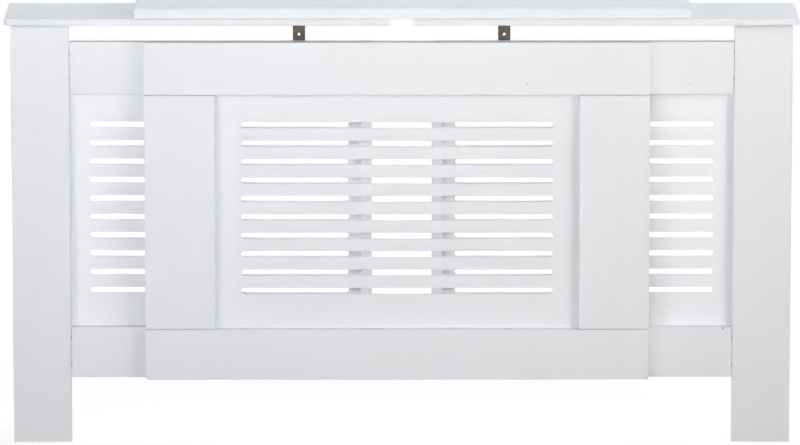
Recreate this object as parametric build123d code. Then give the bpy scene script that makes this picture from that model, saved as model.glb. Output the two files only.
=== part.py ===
from build123d import *
import os

# Extendable radiator cover cabinet, in millimetres.
# +X runs to the right, +Y to the wall and +Z up. The origin is on the floor, below the middle.
# Two side units slide behind a centre panel, and a loose board lies over the gap in the shelf.

# Overall sizes
cabinet_width = 1468.0
cabinet_depth = 190.0
end_height = 793.0
shelf_overhang_side = 10.0
shelf_overhang_front = 7.0

# Shelf halves and the loose cover
shelf_thickness = 12.0
shelf_split = 43.0
shelf_corner_radius = 9.0
cover_width = 1030.0
cover_thickness = 19.0
cover_offset = 20.0
cover_setback = 7.0
cover_corner_radius = 3.0

# Posts and end panels
post_width = 108.0
end_panel_thickness = 15.0
skirting_depth = 20.0
skirting_height = 120.0

# Rails, the same heights on the side frames and the centre panel, but the side top rail and the
# side slots sit a little lower
floor_gap = 124.0
bottom_rail_height = 95.0
top_rail_height = 98.0
air_gap = 33.0
side_drop = 2.5
side_frame_thickness = 18.0
rail_setback = 34.0
inner_stile_width = 20.0

# Centre panel
centre_panel_width = 936.0
centre_panel_offset = -8.5
centre_frame_thickness = 22.0
centre_stile_width = 130.0
slide_gap = 1.0
rebate_width = 10.0
rebate_clearance = 0.5

# Grilles: thin boards with rows of round-ended slots
grille_thickness = 5.0
centre_slot_height = 11.0
side_slot_height = 10.0
slot_pitch = 34.8
slot_rows = 10
slot_rise = 5.1
centre_slot_margin = 48.3
side_slot_inner_margin = 43.0
side_slot_outer_margin = 36.0
side_grille_lap = 20.0
side_grille_inset = 2.0

# Guide channels in the centre rails, and the clamps that run in them
channel_height = 20.0
channel_depth = 12.0
channel_wall = 1.5
channel_slot = 8.0
channel_end_inset = 10.0
channel_clearance = 0.1
clamp_diameter = 6.0
clamp_length = 30.0
clamp_hole_clearance = 0.4
clamp_head_width = 10.0
clamp_head_height = 4.0
clamp_inner_inset = 30.0
clamp_spacing = 100.0
washer_diameter = 12.5
washer_thickness = 1.6
nut_width = 13.0
nut_thickness = 5.0
nut_side_clearance = 0.5
nut_lip_clearance = 0.2

# Angle brackets between the shelf and the side top rail
bracket_leg = 60.0
bracket_width = 23.0
bracket_thickness = 2.0
bracket_bend_radius = 3.0
bracket_inset = 134.5
bracket_hole_diameter = 5.5
bracket_near_hole = 24.0
bracket_far_hole = 48.0

# Screws
screw_clearance = 0.1
bracket_screw_diameter = 4.0
bracket_screw_head = 8.5
rail_screw_length = 14.0
shelf_screw_length = 10.0
grille_screw_diameter = 3.0
grille_screw_head = 6.5
grille_screw_length = 15.0
grille_screw_count_along = 6
grille_screw_count_up = 3
grille_screw_inset = 25.0
flush_screw_head = 5.6
flush_screw_length = 13.0
pan_head_share = 0.3
recess_share = 0.55
recess_blade = 0.9

# Dowels, and the cam fittings below the shelf
dowel_diameter = 8.0
dowel_clearance = 0.1
dowel_end_room = 0.5
dowel_chamfer = 1.0
stile_dowel_length = 50.0
centre_dowel_inset = 30.0
side_dowel_length = 40.0
end_dowel_length = 35.0
end_dowel_in_post = 15.0
end_dowel_spacing = 50.0
post_dowel_length = 35.0
post_dowel_in_post = 12.0
post_dowel_count = 4
shelf_dowel_diameter = 6.0
shelf_dowel_length = 28.0
shelf_dowel_in_shelf = 8.0
shelf_dowel_inset = 50.0
cam_diameter = 15.0
cam_depth = 12.0
cam_clearance = 0.1
cam_drop = 24.0
cam_inset = 30.0
cam_bolt_diameter = 7.0
cam_thread_diameter = 5.0
cam_thread_length = 9.0
cam_neck_diameter = 4.0
cam_head_diameter = 6.6
cam_head_height = 4.0
cam_recess_depth = 2.0

# Softened edges of the painted boards
board_edge = 0.8
shelf_edge = 1.6
seam_edge = 0.5

# Heights
shelf_bottom = end_height
shelf_top = shelf_bottom + shelf_thickness
top_rail_top = end_height - air_gap
top_rail_bottom = top_rail_top - top_rail_height
side_rail_top = top_rail_top - side_drop
side_rail_bottom = side_rail_top - top_rail_height
bottom_rail_bottom = floor_gap
bottom_rail_top = bottom_rail_bottom + bottom_rail_height
rows_middle = (top_rail_bottom + bottom_rail_top) / 2 + slot_rise
upper_channel_z = top_rail_bottom + top_rail_height / 2
lower_channel_z = bottom_rail_bottom + bottom_rail_height / 2

# Depths, from the room to the wall
wall_y = cabinet_depth / 2
shelf_front_y = -cabinet_depth / 2
centre_front_y = shelf_front_y + shelf_overhang_front
centre_back_y = centre_front_y + centre_frame_thickness
centre_middle_y = (centre_front_y + centre_back_y) / 2
centre_grille_front_y = centre_back_y - grille_thickness
rail_front_y = centre_back_y + slide_gap
rail_back_y = rail_front_y + side_frame_thickness
rail_middle_y = (rail_front_y + rail_back_y) / 2

# Widths of the right-hand unit; the left-hand one is its mirror image
end_outer_x = cabinet_width / 2 - shelf_overhang_side
end_inner_x = end_outer_x - end_panel_thickness
end_middle_x = (end_inner_x + end_outer_x) / 2
post_inner_x = end_outer_x - post_width
shelf_inner_x = shelf_split / 2
rail_inner_x = shelf_inner_x + rail_setback
bracket_x = rail_inner_x + bracket_inset
clamp_xs = [rail_inner_x + clamp_inner_inset, rail_inner_x + clamp_inner_inset + clamp_spacing]

# Widths of the centre panel
centre_left_x = centre_panel_offset - centre_panel_width / 2
centre_right_x = centre_panel_offset + centre_panel_width / 2
opening_left_x = centre_left_x + centre_stile_width
opening_right_x = centre_right_x - centre_stile_width


# Directions
TO_ROOM = (0, -1, 0)
TO_WALL = (0, 1, 0)
UP = (0, 0, 1)
DOWN = (0, 0, -1)
RIGHT = (1, 0, 0)
LEFT = (-1, 0, 0)


def spread(first, last, count):
    """Evenly spaced places from the first to the last."""
    step = (last - first) / (count - 1)
    return [first + i * step for i in range(count)]


def block(x0, x1, y0, y1, z0, z1):
    """A plain box between two corners."""
    middle = Pos((x0 + x1) / 2, (y0 + y1) / 2, (z0 + z1) / 2)
    return middle * Box(x1 - x0, y1 - y0, z1 - z0)


def board(x0, x1, y0, y1, z0, z1, edge=board_edge):
    """A board with all its edges a little rounded, as paint and sanding leave them."""
    raw = block(x0, x1, y0, y1, z0, z1)
    return fillet(raw.edges(), edge)


def rod(start, direction, radius, length):
    """A round rod or hole from a start point along a direction."""
    seat = Plane(origin=start, z_dir=direction)
    return seat * Cylinder(radius, length, align=(Align.CENTER, Align.CENTER, Align.MIN))


def dowel(start, direction, diameter, length):
    """A wooden dowel with chamfered ends, from its first end along a direction."""
    pin = Cylinder(diameter / 2, length, align=(Align.CENTER, Align.CENTER, Align.MIN))
    pin = chamfer(pin.edges().filter_by(GeomType.CIRCLE), dowel_chamfer)
    return Plane(origin=start, z_dir=direction) * pin


def dowel_hole(start, direction, diameter, length):
    """The hole that takes a dowel, with room round it and past both ends."""
    seat = Plane(origin=start, z_dir=direction).offset(-dowel_end_room)
    radius = diameter / 2 + dowel_clearance
    hole = Cylinder(radius, length + 2 * dowel_end_room, align=(Align.CENTER, Align.CENTER, Align.MIN))
    return seat * hole


def cross_recess(head_diameter, depth):
    """The cross that a driver fits, cut down from the origin."""
    width = head_diameter * recess_share
    low = (Align.CENTER, Align.CENTER, Align.MAX)
    return Box(width, recess_blade, depth, align=low) + Box(recess_blade, width, depth, align=low)


def pan_screw(point, out, diameter, head, length):
    """A pan-head screw: its head sits on the point and faces out, its shank goes in."""
    head_height = head * pan_head_share
    cap = Cylinder(head / 2, head_height, align=(Align.CENTER, Align.CENTER, Align.MIN))
    cap = fillet(cap.edges().group_by(Axis.Z)[-1], head_height / 2)
    tip = diameter / 2
    shank = Pos(0, 0, -(length - tip)) * Cylinder(
        diameter / 2, length - tip, align=(Align.CENTER, Align.CENTER, Align.MIN)
    )
    point_cone = Pos(0, 0, -length) * Cone(
        diameter / 8, diameter / 2, tip, align=(Align.CENTER, Align.CENTER, Align.MIN)
    )
    cross = Pos(0, 0, head_height) * cross_recess(head, head_height / 2)
    return Plane(origin=point, z_dir=out) * (cap + shank + point_cone - cross)


def flush_screw(point, out, diameter, head, length):
    """A countersunk screw whose flat head ends at the point."""
    sink = (head - diameter) / 2
    cone = Pos(0, 0, -sink) * Cone(
        diameter / 2, head / 2, sink, align=(Align.CENTER, Align.CENTER, Align.MIN)
    )
    shank = Pos(0, 0, -length) * Cylinder(
        diameter / 2, length - sink, align=(Align.CENTER, Align.CENTER, Align.MIN)
    )
    cross = cross_recess(head, sink)
    return Plane(origin=point, z_dir=out) * (cone + shank - cross)


def flush_hole(point, out, diameter, head, length):
    """The countersunk hole of a flush screw, with its clearance."""
    sink = (head - diameter) / 2
    cone = Pos(0, 0, -sink) * Cone(
        diameter / 2 + screw_clearance,
        head / 2 + screw_clearance,
        sink,
        align=(Align.CENTER, Align.CENTER, Align.MIN),
    )
    shank = Cylinder(
        diameter / 2 + screw_clearance,
        length + screw_clearance,
        align=(Align.CENTER, Align.CENTER, Align.MAX),
    )
    return Plane(origin=point, z_dir=out) * (cone + shank)


def pilot(point, direction, diameter, length):
    """A screw's hole in wood, just clear of the screw all round."""
    return rod(point, direction, diameter / 2 + screw_clearance, length + screw_clearance)


# Places of the fasteners


def end_panel_dowel_starts():
    """Where the dowels between post and end panel begin, inside the post."""
    heights = spread(lower_channel_z, upper_channel_z, post_dowel_count)
    return [(end_middle_x, rail_back_y - post_dowel_in_post, z) for z in heights]


def shelf_dowel_starts():
    """Where the dowels between end panel and shelf begin, inside the panel."""
    z = shelf_bottom + shelf_dowel_in_shelf - shelf_dowel_length
    ys = (rail_back_y + shelf_dowel_inset, wall_y - shelf_dowel_inset)
    return [(end_middle_x, y, z) for y in ys]


def cam_ys():
    """Depths of the cam fittings in an end panel."""
    return [rail_back_y + cam_inset, wall_y - cam_inset]


def rail_end_dowel_starts():
    """Where the dowels between the side rails and the post begin, inside the rails."""
    x = post_inner_x + end_dowel_in_post - end_dowel_length
    levels = [upper_channel_z, lower_channel_z]
    return [
        (x, rail_middle_y, z + side * end_dowel_spacing / 2) for z in levels for side in (-1, 1)
    ]


def side_stile_dowel_starts():
    """Where the dowels between the inner stile and the rails begin, at their lower ends."""
    x = rail_inner_x + inner_stile_width / 2
    zs = [bottom_rail_top - side_dowel_length / 2, side_rail_bottom - side_dowel_length / 2]
    return [(x, rail_middle_y, z) for z in zs]


def centre_dowel_starts():
    """Where the dowels between centre stiles and rails begin, at their lower ends."""
    xs = [
        centre_left_x + centre_dowel_inset,
        opening_left_x - centre_dowel_inset,
        opening_right_x + centre_dowel_inset,
        centre_right_x - centre_dowel_inset,
    ]
    zs = [bottom_rail_top - stile_dowel_length / 2, top_rail_bottom - stile_dowel_length / 2]
    return [(x, centre_middle_y, z) for x in xs for z in zs]


def clamp_points():
    """Where the clamp screws pass the back of the side rails."""
    return [(x, rail_back_y, z) for x in clamp_xs for z in (lower_channel_z, upper_channel_z)]


def frame_screw_points(x0, x1, z0, z1, y):
    """Screw places round a grille's edge, clear of its corners, where the dowels are."""
    xs = spread(x0 + grille_screw_inset, x1 - grille_screw_inset, grille_screw_count_along)
    heights = spread(z0, z1, grille_screw_count_up + 2)[1:-1]
    along = [(x, y, z) for x in xs for z in (z0, z1)]
    return along + [(x, y, z) for x in (x0, x1) for z in heights]


def side_grille_screw_points():
    """Screw places of a side grille, on the back of its rails, its stile and the post."""
    x0 = rail_inner_x + inner_stile_width / 2
    x1 = post_inner_x + side_grille_lap / 2
    z0 = bottom_rail_top - side_grille_lap / 2
    z1 = side_rail_bottom + side_grille_lap / 2
    return frame_screw_points(x0, x1, z0, z1, rail_back_y + grille_thickness)


def centre_grille_screw_points():
    """Screw places of the centre grille, in the middle of its rebate."""
    inset = rebate_width / 2
    return frame_screw_points(
        opening_left_x - inset,
        opening_right_x + inset,
        bottom_rail_top - inset,
        top_rail_bottom + inset,
        centre_back_y,
    )


# Right-hand side unit


def make_post():
    """The front post, which stands on the floor under the end of the shelf."""
    post = board(post_inner_x, end_outer_x, rail_front_y, rail_back_y, 0, end_height)
    for start in end_panel_dowel_starts():
        post -= dowel_hole(start, TO_WALL, dowel_diameter, post_dowel_length)
    for start in rail_end_dowel_starts():
        post -= dowel_hole(start, RIGHT, dowel_diameter, end_dowel_length)
    for point in side_grille_screw_points():
        post -= pilot(point, TO_ROOM, grille_screw_diameter, grille_screw_length)
    return post


def make_end_panel():
    """The end panel behind the post, notched at the foot for a skirting board."""
    notch_y = wall_y - skirting_depth
    outline = Polyline(
        (rail_back_y, 0),
        (notch_y, 0),
        (notch_y, skirting_height),
        (wall_y, skirting_height),
        (wall_y, end_height),
        (rail_back_y, end_height),
        close=True,
    )
    side = make_face(Plane.YZ.offset(end_inner_x) * outline)
    panel = extrude(side, end_panel_thickness)
    panel = fillet(panel.edges(), seam_edge)
    for start in end_panel_dowel_starts():
        panel -= dowel_hole(start, TO_WALL, dowel_diameter, post_dowel_length)
    for start in shelf_dowel_starts():
        panel -= dowel_hole(start, UP, shelf_dowel_diameter, shelf_dowel_length)
    for y in cam_ys():
        level = shelf_bottom - cam_drop
        cam_radius = cam_diameter / 2 + cam_clearance
        bolt_radius = cam_bolt_diameter / 2 + cam_clearance
        panel -= rod((end_inner_x, y, level), RIGHT, cam_radius, cam_depth + cam_clearance)
        panel -= rod((end_middle_x, y, level), UP, bolt_radius, cam_drop)
    return panel


def make_side_rail(z0, z1):
    """A rail of the side frame, flush with the post, from the inner end to the post."""
    rail = board(rail_inner_x, post_inner_x, rail_front_y, rail_back_y, z0, z1)
    for start in side_stile_dowel_starts():
        rail -= dowel_hole(start, UP, dowel_diameter, side_dowel_length)
    for start in rail_end_dowel_starts():
        rail -= dowel_hole(start, RIGHT, dowel_diameter, end_dowel_length)
    for point in clamp_points():
        radius = clamp_diameter / 2 + clamp_hole_clearance
        rail -= rod(point, TO_ROOM, radius, side_frame_thickness)
    for point in side_grille_screw_points():
        rail -= pilot(point, TO_ROOM, grille_screw_diameter, grille_screw_length)
    rail -= pilot(
        (bracket_x, rail_back_y, shelf_bottom - bracket_far_hole),
        TO_ROOM,
        bracket_screw_diameter,
        rail_screw_length,
    )
    return rail


def make_inner_stile():
    """The upright at the inner end of the side frame, between the rails."""
    x1 = rail_inner_x + inner_stile_width
    stile = board(rail_inner_x, x1, rail_front_y, rail_back_y, bottom_rail_top, side_rail_bottom)
    for start in side_stile_dowel_starts():
        stile -= dowel_hole(start, UP, dowel_diameter, side_dowel_length)
    for point in side_grille_screw_points():
        stile -= pilot(point, TO_ROOM, grille_screw_diameter, grille_screw_length)
    return stile


def slotted_board(x0, x1, z0, z1, slot_x0, slot_x1, slots_z, slot_height, y_back):
    """A thin board with rows of round-ended slots, centred on a height."""
    plate = Pos((x0 + x1) / 2, (z0 + z1) / 2) * Rectangle(x1 - x0, z1 - z0)
    half_rows = (slot_rows - 1) / 2
    for row in range(slot_rows):
        z = slots_z + (row - half_rows) * slot_pitch
        plate -= Pos((slot_x0 + slot_x1) / 2, z) * SlotOverall(slot_x1 - slot_x0, slot_height)
    return extrude(Plane.XZ.offset(-y_back) * plate, grille_thickness)


def make_side_grille():
    """The side grille, screwed on the back of its rails, its stile and the post."""
    grille = slotted_board(
        rail_inner_x + side_grille_inset,
        post_inner_x + side_grille_lap,
        bottom_rail_top - side_grille_lap,
        side_rail_bottom + side_grille_lap,
        rail_inner_x + side_slot_inner_margin,
        post_inner_x - side_slot_outer_margin,
        rows_middle - side_drop,
        side_slot_height,
        rail_back_y + grille_thickness,
    )
    for point in side_grille_screw_points():
        grille -= pilot(point, TO_ROOM, grille_screw_diameter, grille_screw_length)
    return grille


def make_shelf():
    """Half of the shelf, with its free front corner rounded."""
    half = block(
        shelf_inner_x, cabinet_width / 2, shelf_front_y, wall_y, shelf_bottom, shelf_top
    )
    corner = half.edges().filter_by(Axis.Z).group_by(Axis.Y)[0].sort_by(Axis.X)[-1]
    half = fillet(corner, shelf_corner_radius)
    half = fillet(half.faces().sort_by(Axis.Z)[-1].edges(), shelf_edge)
    half = fillet(half.faces().sort_by(Axis.Z)[0].edges(), board_edge)
    for start in shelf_dowel_starts():
        half -= dowel_hole(start, UP, shelf_dowel_diameter, shelf_dowel_length)
    for y in cam_ys():
        half -= pilot((end_middle_x, y, shelf_bottom), UP, cam_thread_diameter, cam_thread_length)
    for y in bracket_shelf_screw_ys():
        half -= pilot((bracket_x, y, shelf_bottom), UP, bracket_screw_diameter, shelf_screw_length)
    return half


def bracket_shelf_screw_ys():
    """Depths of the two screws through the bracket's flat leg."""
    return [rail_back_y + bracket_near_hole, rail_back_y + bracket_far_hole]


def make_bracket():
    """A bent steel angle: one leg under the shelf, one down the back of the rail."""
    flat = block(
        bracket_x - bracket_width / 2,
        bracket_x + bracket_width / 2,
        rail_back_y,
        rail_back_y + bracket_leg,
        shelf_bottom - bracket_thickness,
        shelf_bottom,
    )
    upright = block(
        bracket_x - bracket_width / 2,
        bracket_x + bracket_width / 2,
        rail_back_y,
        rail_back_y + bracket_thickness,
        shelf_bottom - bracket_leg,
        shelf_bottom,
    )
    angle = flat + upright
    outer_corner = (bracket_x, rail_back_y, shelf_bottom)
    inner_corner = (bracket_x, rail_back_y + bracket_thickness, shelf_bottom - bracket_thickness)
    outer = angle.edges().filter_by(Axis.X).sort_by_distance(outer_corner)[0]
    angle = fillet(outer, bracket_bend_radius)
    inner = angle.edges().filter_by(Axis.X).sort_by_distance(inner_corner)[0]
    angle = fillet(inner, bracket_bend_radius - bracket_thickness)
    radius = bracket_hole_diameter / 2
    for reach in (bracket_near_hole, bracket_far_hole):
        angle -= rod((bracket_x, rail_back_y, shelf_bottom - reach), TO_WALL, radius, bracket_thickness)
        angle -= rod((bracket_x, rail_back_y + reach, shelf_bottom), DOWN, radius, bracket_thickness)
    return angle


def make_bracket_screws():
    """One screw into the rail and two into the shelf. The near hole of the upright leg is free."""
    into_rail = pan_screw(
        (bracket_x, rail_back_y + bracket_thickness, shelf_bottom - bracket_far_hole),
        TO_WALL,
        bracket_screw_diameter,
        bracket_screw_head,
        rail_screw_length,
    )
    into_shelf = [
        pan_screw(
            (bracket_x, y, shelf_bottom - bracket_thickness),
            DOWN,
            bracket_screw_diameter,
            bracket_screw_head,
            shelf_screw_length,
        )
        for y in bracket_shelf_screw_ys()
    ]
    return [into_rail] + into_shelf


def make_clamp_screws():
    """Hexagon screws through the side rails into the channel nuts."""
    head = extrude(RegularPolygon(clamp_head_width / 2, 6, major_radius=False), clamp_head_height)
    shank = Cylinder(
        clamp_diameter / 2, clamp_length, align=(Align.CENTER, Align.CENTER, Align.MAX)
    )
    screw = head + shank
    return [
        Plane(origin=(x, y + washer_thickness, z), z_dir=TO_WALL) * screw for x, y, z in clamp_points()
    ]


def make_clamp_washers():
    """Flat washers under the clamp screws' heads."""
    ring = Circle(washer_diameter / 2) - Circle(clamp_diameter / 2 + clamp_hole_clearance)
    washer = extrude(ring, washer_thickness)
    return [Plane(origin=point, z_dir=TO_WALL) * washer for point in clamp_points()]


def make_channel_nuts():
    """Square nuts that slide in the channels of the centre panel."""
    back = centre_back_y - channel_wall - nut_lip_clearance
    height = channel_height - 2 * channel_wall - 2 * nut_side_clearance
    nuts = []
    for x, _, z in clamp_points():
        nut = block(
            x - nut_width / 2,
            x + nut_width / 2,
            back - nut_thickness,
            back,
            z - height / 2,
            z + height / 2,
        )
        nut -= rod((x, back, z), TO_ROOM, clamp_diameter / 2 + screw_clearance, nut_thickness)
        nuts.append(nut)
    return nuts


def make_cam_locks():
    """Cam discs in the end panel, each with a pocket for the head of its bolt."""
    locks = []
    for y in cam_ys():
        centre = (end_inner_x, y, shelf_bottom - cam_drop)
        disc = rod(centre, RIGHT, cam_diameter / 2, cam_depth)
        pocket = rod(
            (end_middle_x, y, shelf_bottom - cam_drop - cam_head_height),
            UP,
            cam_bolt_diameter / 2 + cam_clearance,
            cam_drop,
        )
        cross = Plane(origin=centre, z_dir=LEFT) * cross_recess(cam_diameter, cam_recess_depth)
        locks.append(disc - pocket - cross)
    return locks


def make_cam_bolts():
    """Bolts screwed into the shelf, whose heads the cam discs grip."""
    neck_top = -cam_drop + cam_diameter / 2
    head_top = -cam_drop + cam_head_height / 2
    bolts = []
    for y in cam_ys():
        start = (end_middle_x, y, shelf_bottom)
        bolt = rod(start, UP, cam_thread_diameter / 2, cam_thread_length)
        bolt += rod(start, DOWN, cam_bolt_diameter / 2, -neck_top)
        bolt += rod(start, DOWN, cam_neck_diameter / 2, -head_top)
        head = (end_middle_x, y, shelf_bottom + head_top)
        bolt += rod(head, DOWN, cam_head_diameter / 2, cam_head_height)
        bolts.append(bolt)
    return bolts


def side_unit():
    """Every piece of the right-hand unit, by name."""
    post_dowel_set = [
        dowel(start, TO_WALL, dowel_diameter, post_dowel_length) for start in end_panel_dowel_starts()
    ]
    shelf_dowel_set = [
        dowel(start, UP, shelf_dowel_diameter, shelf_dowel_length) for start in shelf_dowel_starts()
    ]
    frame_dowel_set = [
        dowel(start, UP, dowel_diameter, side_dowel_length) for start in side_stile_dowel_starts()
    ] + [
        dowel(start, RIGHT, dowel_diameter, end_dowel_length) for start in rail_end_dowel_starts()
    ]
    grille_screw_set = [
        pan_screw(point, TO_WALL, grille_screw_diameter, grille_screw_head, grille_screw_length)
        for point in side_grille_screw_points()
    ]
    return {
        "post": [make_post()],
        "end_panel": [make_end_panel()],
        "top_rail": [make_side_rail(side_rail_bottom, side_rail_top)],
        "bottom_rail": [make_side_rail(bottom_rail_bottom, bottom_rail_top)],
        "inner_stile": [make_inner_stile()],
        "grille": [make_side_grille()],
        "shelf": [make_shelf()],
        "bracket": [make_bracket()],
        "bracket_screws": make_bracket_screws(),
        "grille_screws": grille_screw_set,
        "post_dowels": post_dowel_set,
        "shelf_dowels": shelf_dowel_set,
        "frame_dowels": frame_dowel_set,
        "cam_locks": make_cam_locks(),
        "cam_bolts": make_cam_bolts(),
        "clamp_screws": make_clamp_screws(),
        "clamp_washers": make_clamp_washers(),
        "channel_nuts": make_channel_nuts(),
    }


# Centre panel


def channel_bed(z):
    """The groove in the back of a centre rail that takes a channel."""
    return block(
        centre_left_x + channel_end_inset - channel_clearance,
        centre_right_x - channel_end_inset + channel_clearance,
        centre_back_y - channel_depth,
        centre_back_y,
        z - channel_height / 2 - channel_clearance,
        z + channel_height / 2 + channel_clearance,
    )


def make_channel(z):
    """An aluminium channel with two lips, open to the back along a slot."""
    outer = Rectangle(channel_depth, channel_height)
    hollow = Rectangle(channel_depth - 2 * channel_wall, channel_height - 2 * channel_wall)
    mouth = Pos(channel_depth / 2 - channel_wall / 2, 0) * Rectangle(channel_wall, channel_slot)
    section = outer - hollow - mouth
    start = centre_left_x + channel_end_inset
    seat = Plane(
        origin=(start, centre_back_y - channel_depth / 2, z), x_dir=TO_WALL, z_dir=RIGHT
    )
    return extrude(seat * section, centre_panel_width - 2 * channel_end_inset)


def rebate():
    """The step round the back of the centre opening that the grille lies in."""
    return block(
        opening_left_x - rebate_width,
        opening_right_x + rebate_width,
        centre_grille_front_y,
        centre_back_y,
        bottom_rail_top - rebate_width,
        top_rail_bottom + rebate_width,
    )


def bore_centre_frame(piece):
    """Cuts the rebate, the dowel holes and the grille screws' holes from a centre frame piece."""
    piece -= rebate()
    for start in centre_dowel_starts():
        piece -= dowel_hole(start, UP, dowel_diameter, stile_dowel_length)
    for point in centre_grille_screw_points():
        piece -= pilot(point, TO_ROOM, grille_screw_diameter, flush_screw_length)
    return piece


def make_centre_rail(z0, z1, channel_z):
    """A full-width rail of the centre panel, grooved for its channel."""
    rail = board(centre_left_x, centre_right_x, centre_front_y, centre_back_y, z0, z1)
    return bore_centre_frame(rail - channel_bed(channel_z))


def make_centre_stile(x0):
    """An upright of the centre panel, between its rails."""
    stile = board(
        x0,
        x0 + centre_stile_width,
        centre_front_y,
        centre_back_y,
        bottom_rail_top,
        top_rail_bottom,
        seam_edge,
    )
    return bore_centre_frame(stile)


def make_centre_grille():
    """The centre grille, let into the rebate so that its back is flush."""
    inset = rebate_width - rebate_clearance
    grille = slotted_board(
        opening_left_x - inset,
        opening_right_x + inset,
        bottom_rail_top - inset,
        top_rail_bottom + inset,
        opening_left_x + centre_slot_margin,
        opening_right_x - centre_slot_margin,
        rows_middle,
        centre_slot_height,
        centre_back_y,
    )
    for point in centre_grille_screw_points():
        grille -= flush_hole(
            point, TO_WALL, grille_screw_diameter, flush_screw_head, flush_screw_length
        )
    return grille


def centre_unit():
    """Every piece of the centre panel, by name."""
    screws = [
        flush_screw(point, TO_WALL, grille_screw_diameter, flush_screw_head, flush_screw_length)
        for point in centre_grille_screw_points()
    ]
    dowels = [
        dowel(start, UP, dowel_diameter, stile_dowel_length) for start in centre_dowel_starts()
    ]
    return {
        "centre_top_rail": [make_centre_rail(top_rail_bottom, top_rail_top, upper_channel_z)],
        "centre_bottom_rail": [
            make_centre_rail(bottom_rail_bottom, bottom_rail_top, lower_channel_z)
        ],
        "centre_left_stile": [make_centre_stile(centre_left_x)],
        "centre_right_stile": [make_centre_stile(opening_right_x)],
        "centre_grille": [make_centre_grille()],
        "centre_grille_screws": screws,
        "centre_dowels": dowels,
        "upper_channel": [make_channel(upper_channel_z)],
        "lower_channel": [make_channel(lower_channel_z)],
    }


# Loose cover


def make_top_cover():
    """The loose board that lies on both shelf halves and hides the gap."""
    cover = block(
        cover_offset - cover_width / 2,
        cover_offset + cover_width / 2,
        shelf_front_y + cover_setback,
        wall_y,
        shelf_top,
        shelf_top + cover_thickness,
    )
    cover = fillet(cover.edges().filter_by(Axis.Z), cover_corner_radius)
    cover = fillet(cover.faces().sort_by(Axis.Z)[-1].edges(), shelf_edge)
    return fillet(cover.faces().sort_by(Axis.Z)[0].edges(), board_edge)


def write_piece(name, solids):
    """Writes one named piece, or one group of alike fasteners, to its own file."""
    shape = solids[0] if len(solids) == 1 else Compound(children=solids)
    shape.label = name
    export_step(shape, f"parts/{name}.step")


def main():
    os.makedirs("parts", exist_ok=True)
    for name, solids in side_unit().items():
        write_piece(f"right_{name}", solids)
        write_piece(f"left_{name}", [mirror(solid, about=Plane.YZ) for solid in solids])
    for name, solids in centre_unit().items():
        write_piece(name, solids)
    write_piece("top_cover", [make_top_cover()])


main()
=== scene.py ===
import logging
import math
from collections.abc import Callable, Iterator, Sequence
from contextlib import contextmanager
from dataclasses import dataclass, field
from enum import Enum
from typing import Protocol

import bmesh
import bpy
from mathutils import Matrix, Vector


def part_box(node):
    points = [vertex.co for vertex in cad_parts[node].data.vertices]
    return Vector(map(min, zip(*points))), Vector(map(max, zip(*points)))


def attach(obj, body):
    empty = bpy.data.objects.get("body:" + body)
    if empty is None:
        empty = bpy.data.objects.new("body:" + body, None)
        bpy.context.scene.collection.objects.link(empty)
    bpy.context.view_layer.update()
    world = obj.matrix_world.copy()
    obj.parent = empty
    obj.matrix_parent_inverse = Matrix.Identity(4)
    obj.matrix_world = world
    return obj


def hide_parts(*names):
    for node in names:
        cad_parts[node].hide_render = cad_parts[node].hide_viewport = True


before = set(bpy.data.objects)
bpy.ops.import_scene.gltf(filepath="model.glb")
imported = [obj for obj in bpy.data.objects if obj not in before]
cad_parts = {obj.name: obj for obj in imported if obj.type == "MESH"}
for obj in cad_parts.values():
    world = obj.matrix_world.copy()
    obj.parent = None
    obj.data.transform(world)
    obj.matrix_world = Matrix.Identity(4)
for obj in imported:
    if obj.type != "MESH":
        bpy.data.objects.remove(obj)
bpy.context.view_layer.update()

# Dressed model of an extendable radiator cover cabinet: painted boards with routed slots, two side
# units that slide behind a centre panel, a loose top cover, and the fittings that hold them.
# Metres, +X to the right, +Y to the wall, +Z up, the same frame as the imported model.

LOG = logging.getLogger("cabinet")
MM = 0.001
NEAR = 1e-5  # points this close count as at the same place
TINY = 1e-6  # what rounding may leave between two equal heights
UPRIGHT = (math.pi / 2, 0.0, 0.0)  # turns a sheet that lies flat to face the room
UPRIGHT_EDGE = 5 * MM  # a board's edges that rise more than this run up its corners
CROSS_SHARE = 0.55  # the driver's cross against the width of the head
Point = tuple[float, float, float]
Box = tuple[Vector, Vector]
Colour = tuple[float, float, float, float]
Piece = bpy.types.Object
Plug = bpy.types.NodeSocket


class Pick(Enum):
    """What a selection in edit mode takes."""

    VERTICES = "VERT"
    EDGES = "EDGE"
    FACES = "FACE"


class Side(Enum):
    """The two sliding units, with the way each lies from the middle."""

    LEFT = -1
    RIGHT = 1

    @property
    def label(self) -> str:
        """The start of the names of this side's nodes."""
        return self.name.lower()


class Way(Enum):
    """Directions that a fastener's head can face and a bore can run."""

    TO_WALL = (0.0, 1.0, 0.0)
    TO_ROOM = (0.0, -1.0, 0.0)
    UP = (0.0, 0.0, 1.0)
    DOWN = (0.0, 0.0, -1.0)
    RIGHT = (1.0, 0.0, 0.0)
    LEFT = (-1.0, 0.0, 0.0)

    def seat(self, point: Vector) -> Matrix:
        """Where a fastener modelled upright at the origin goes.

        Args:
            point: The point its head sits on.

        Returns:
            The matrix that turns and moves it there.
        """
        turn = Vector(self.value).to_track_quat("Z", "Y").to_matrix().to_4x4()
        return Matrix.Translation(point) @ turn


class Socket(Enum):
    """Kinds of socket on a node group."""

    VALUE = "NodeSocketFloat"
    COLOUR = "NodeSocketColor"
    VECTOR = "NodeSocketVector"


# Workbench: small modelling steps that every sub-assembly uses


def clear_selection() -> None:
    """Leaves object mode with nothing selected."""
    bpy.ops.object.select_all(action="DESELECT")


def take(piece: Piece) -> None:
    """Selects one piece alone and makes it the active one."""
    clear_selection()
    bpy.context.view_layer.objects.active = piece
    piece.select_set(True)


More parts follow.
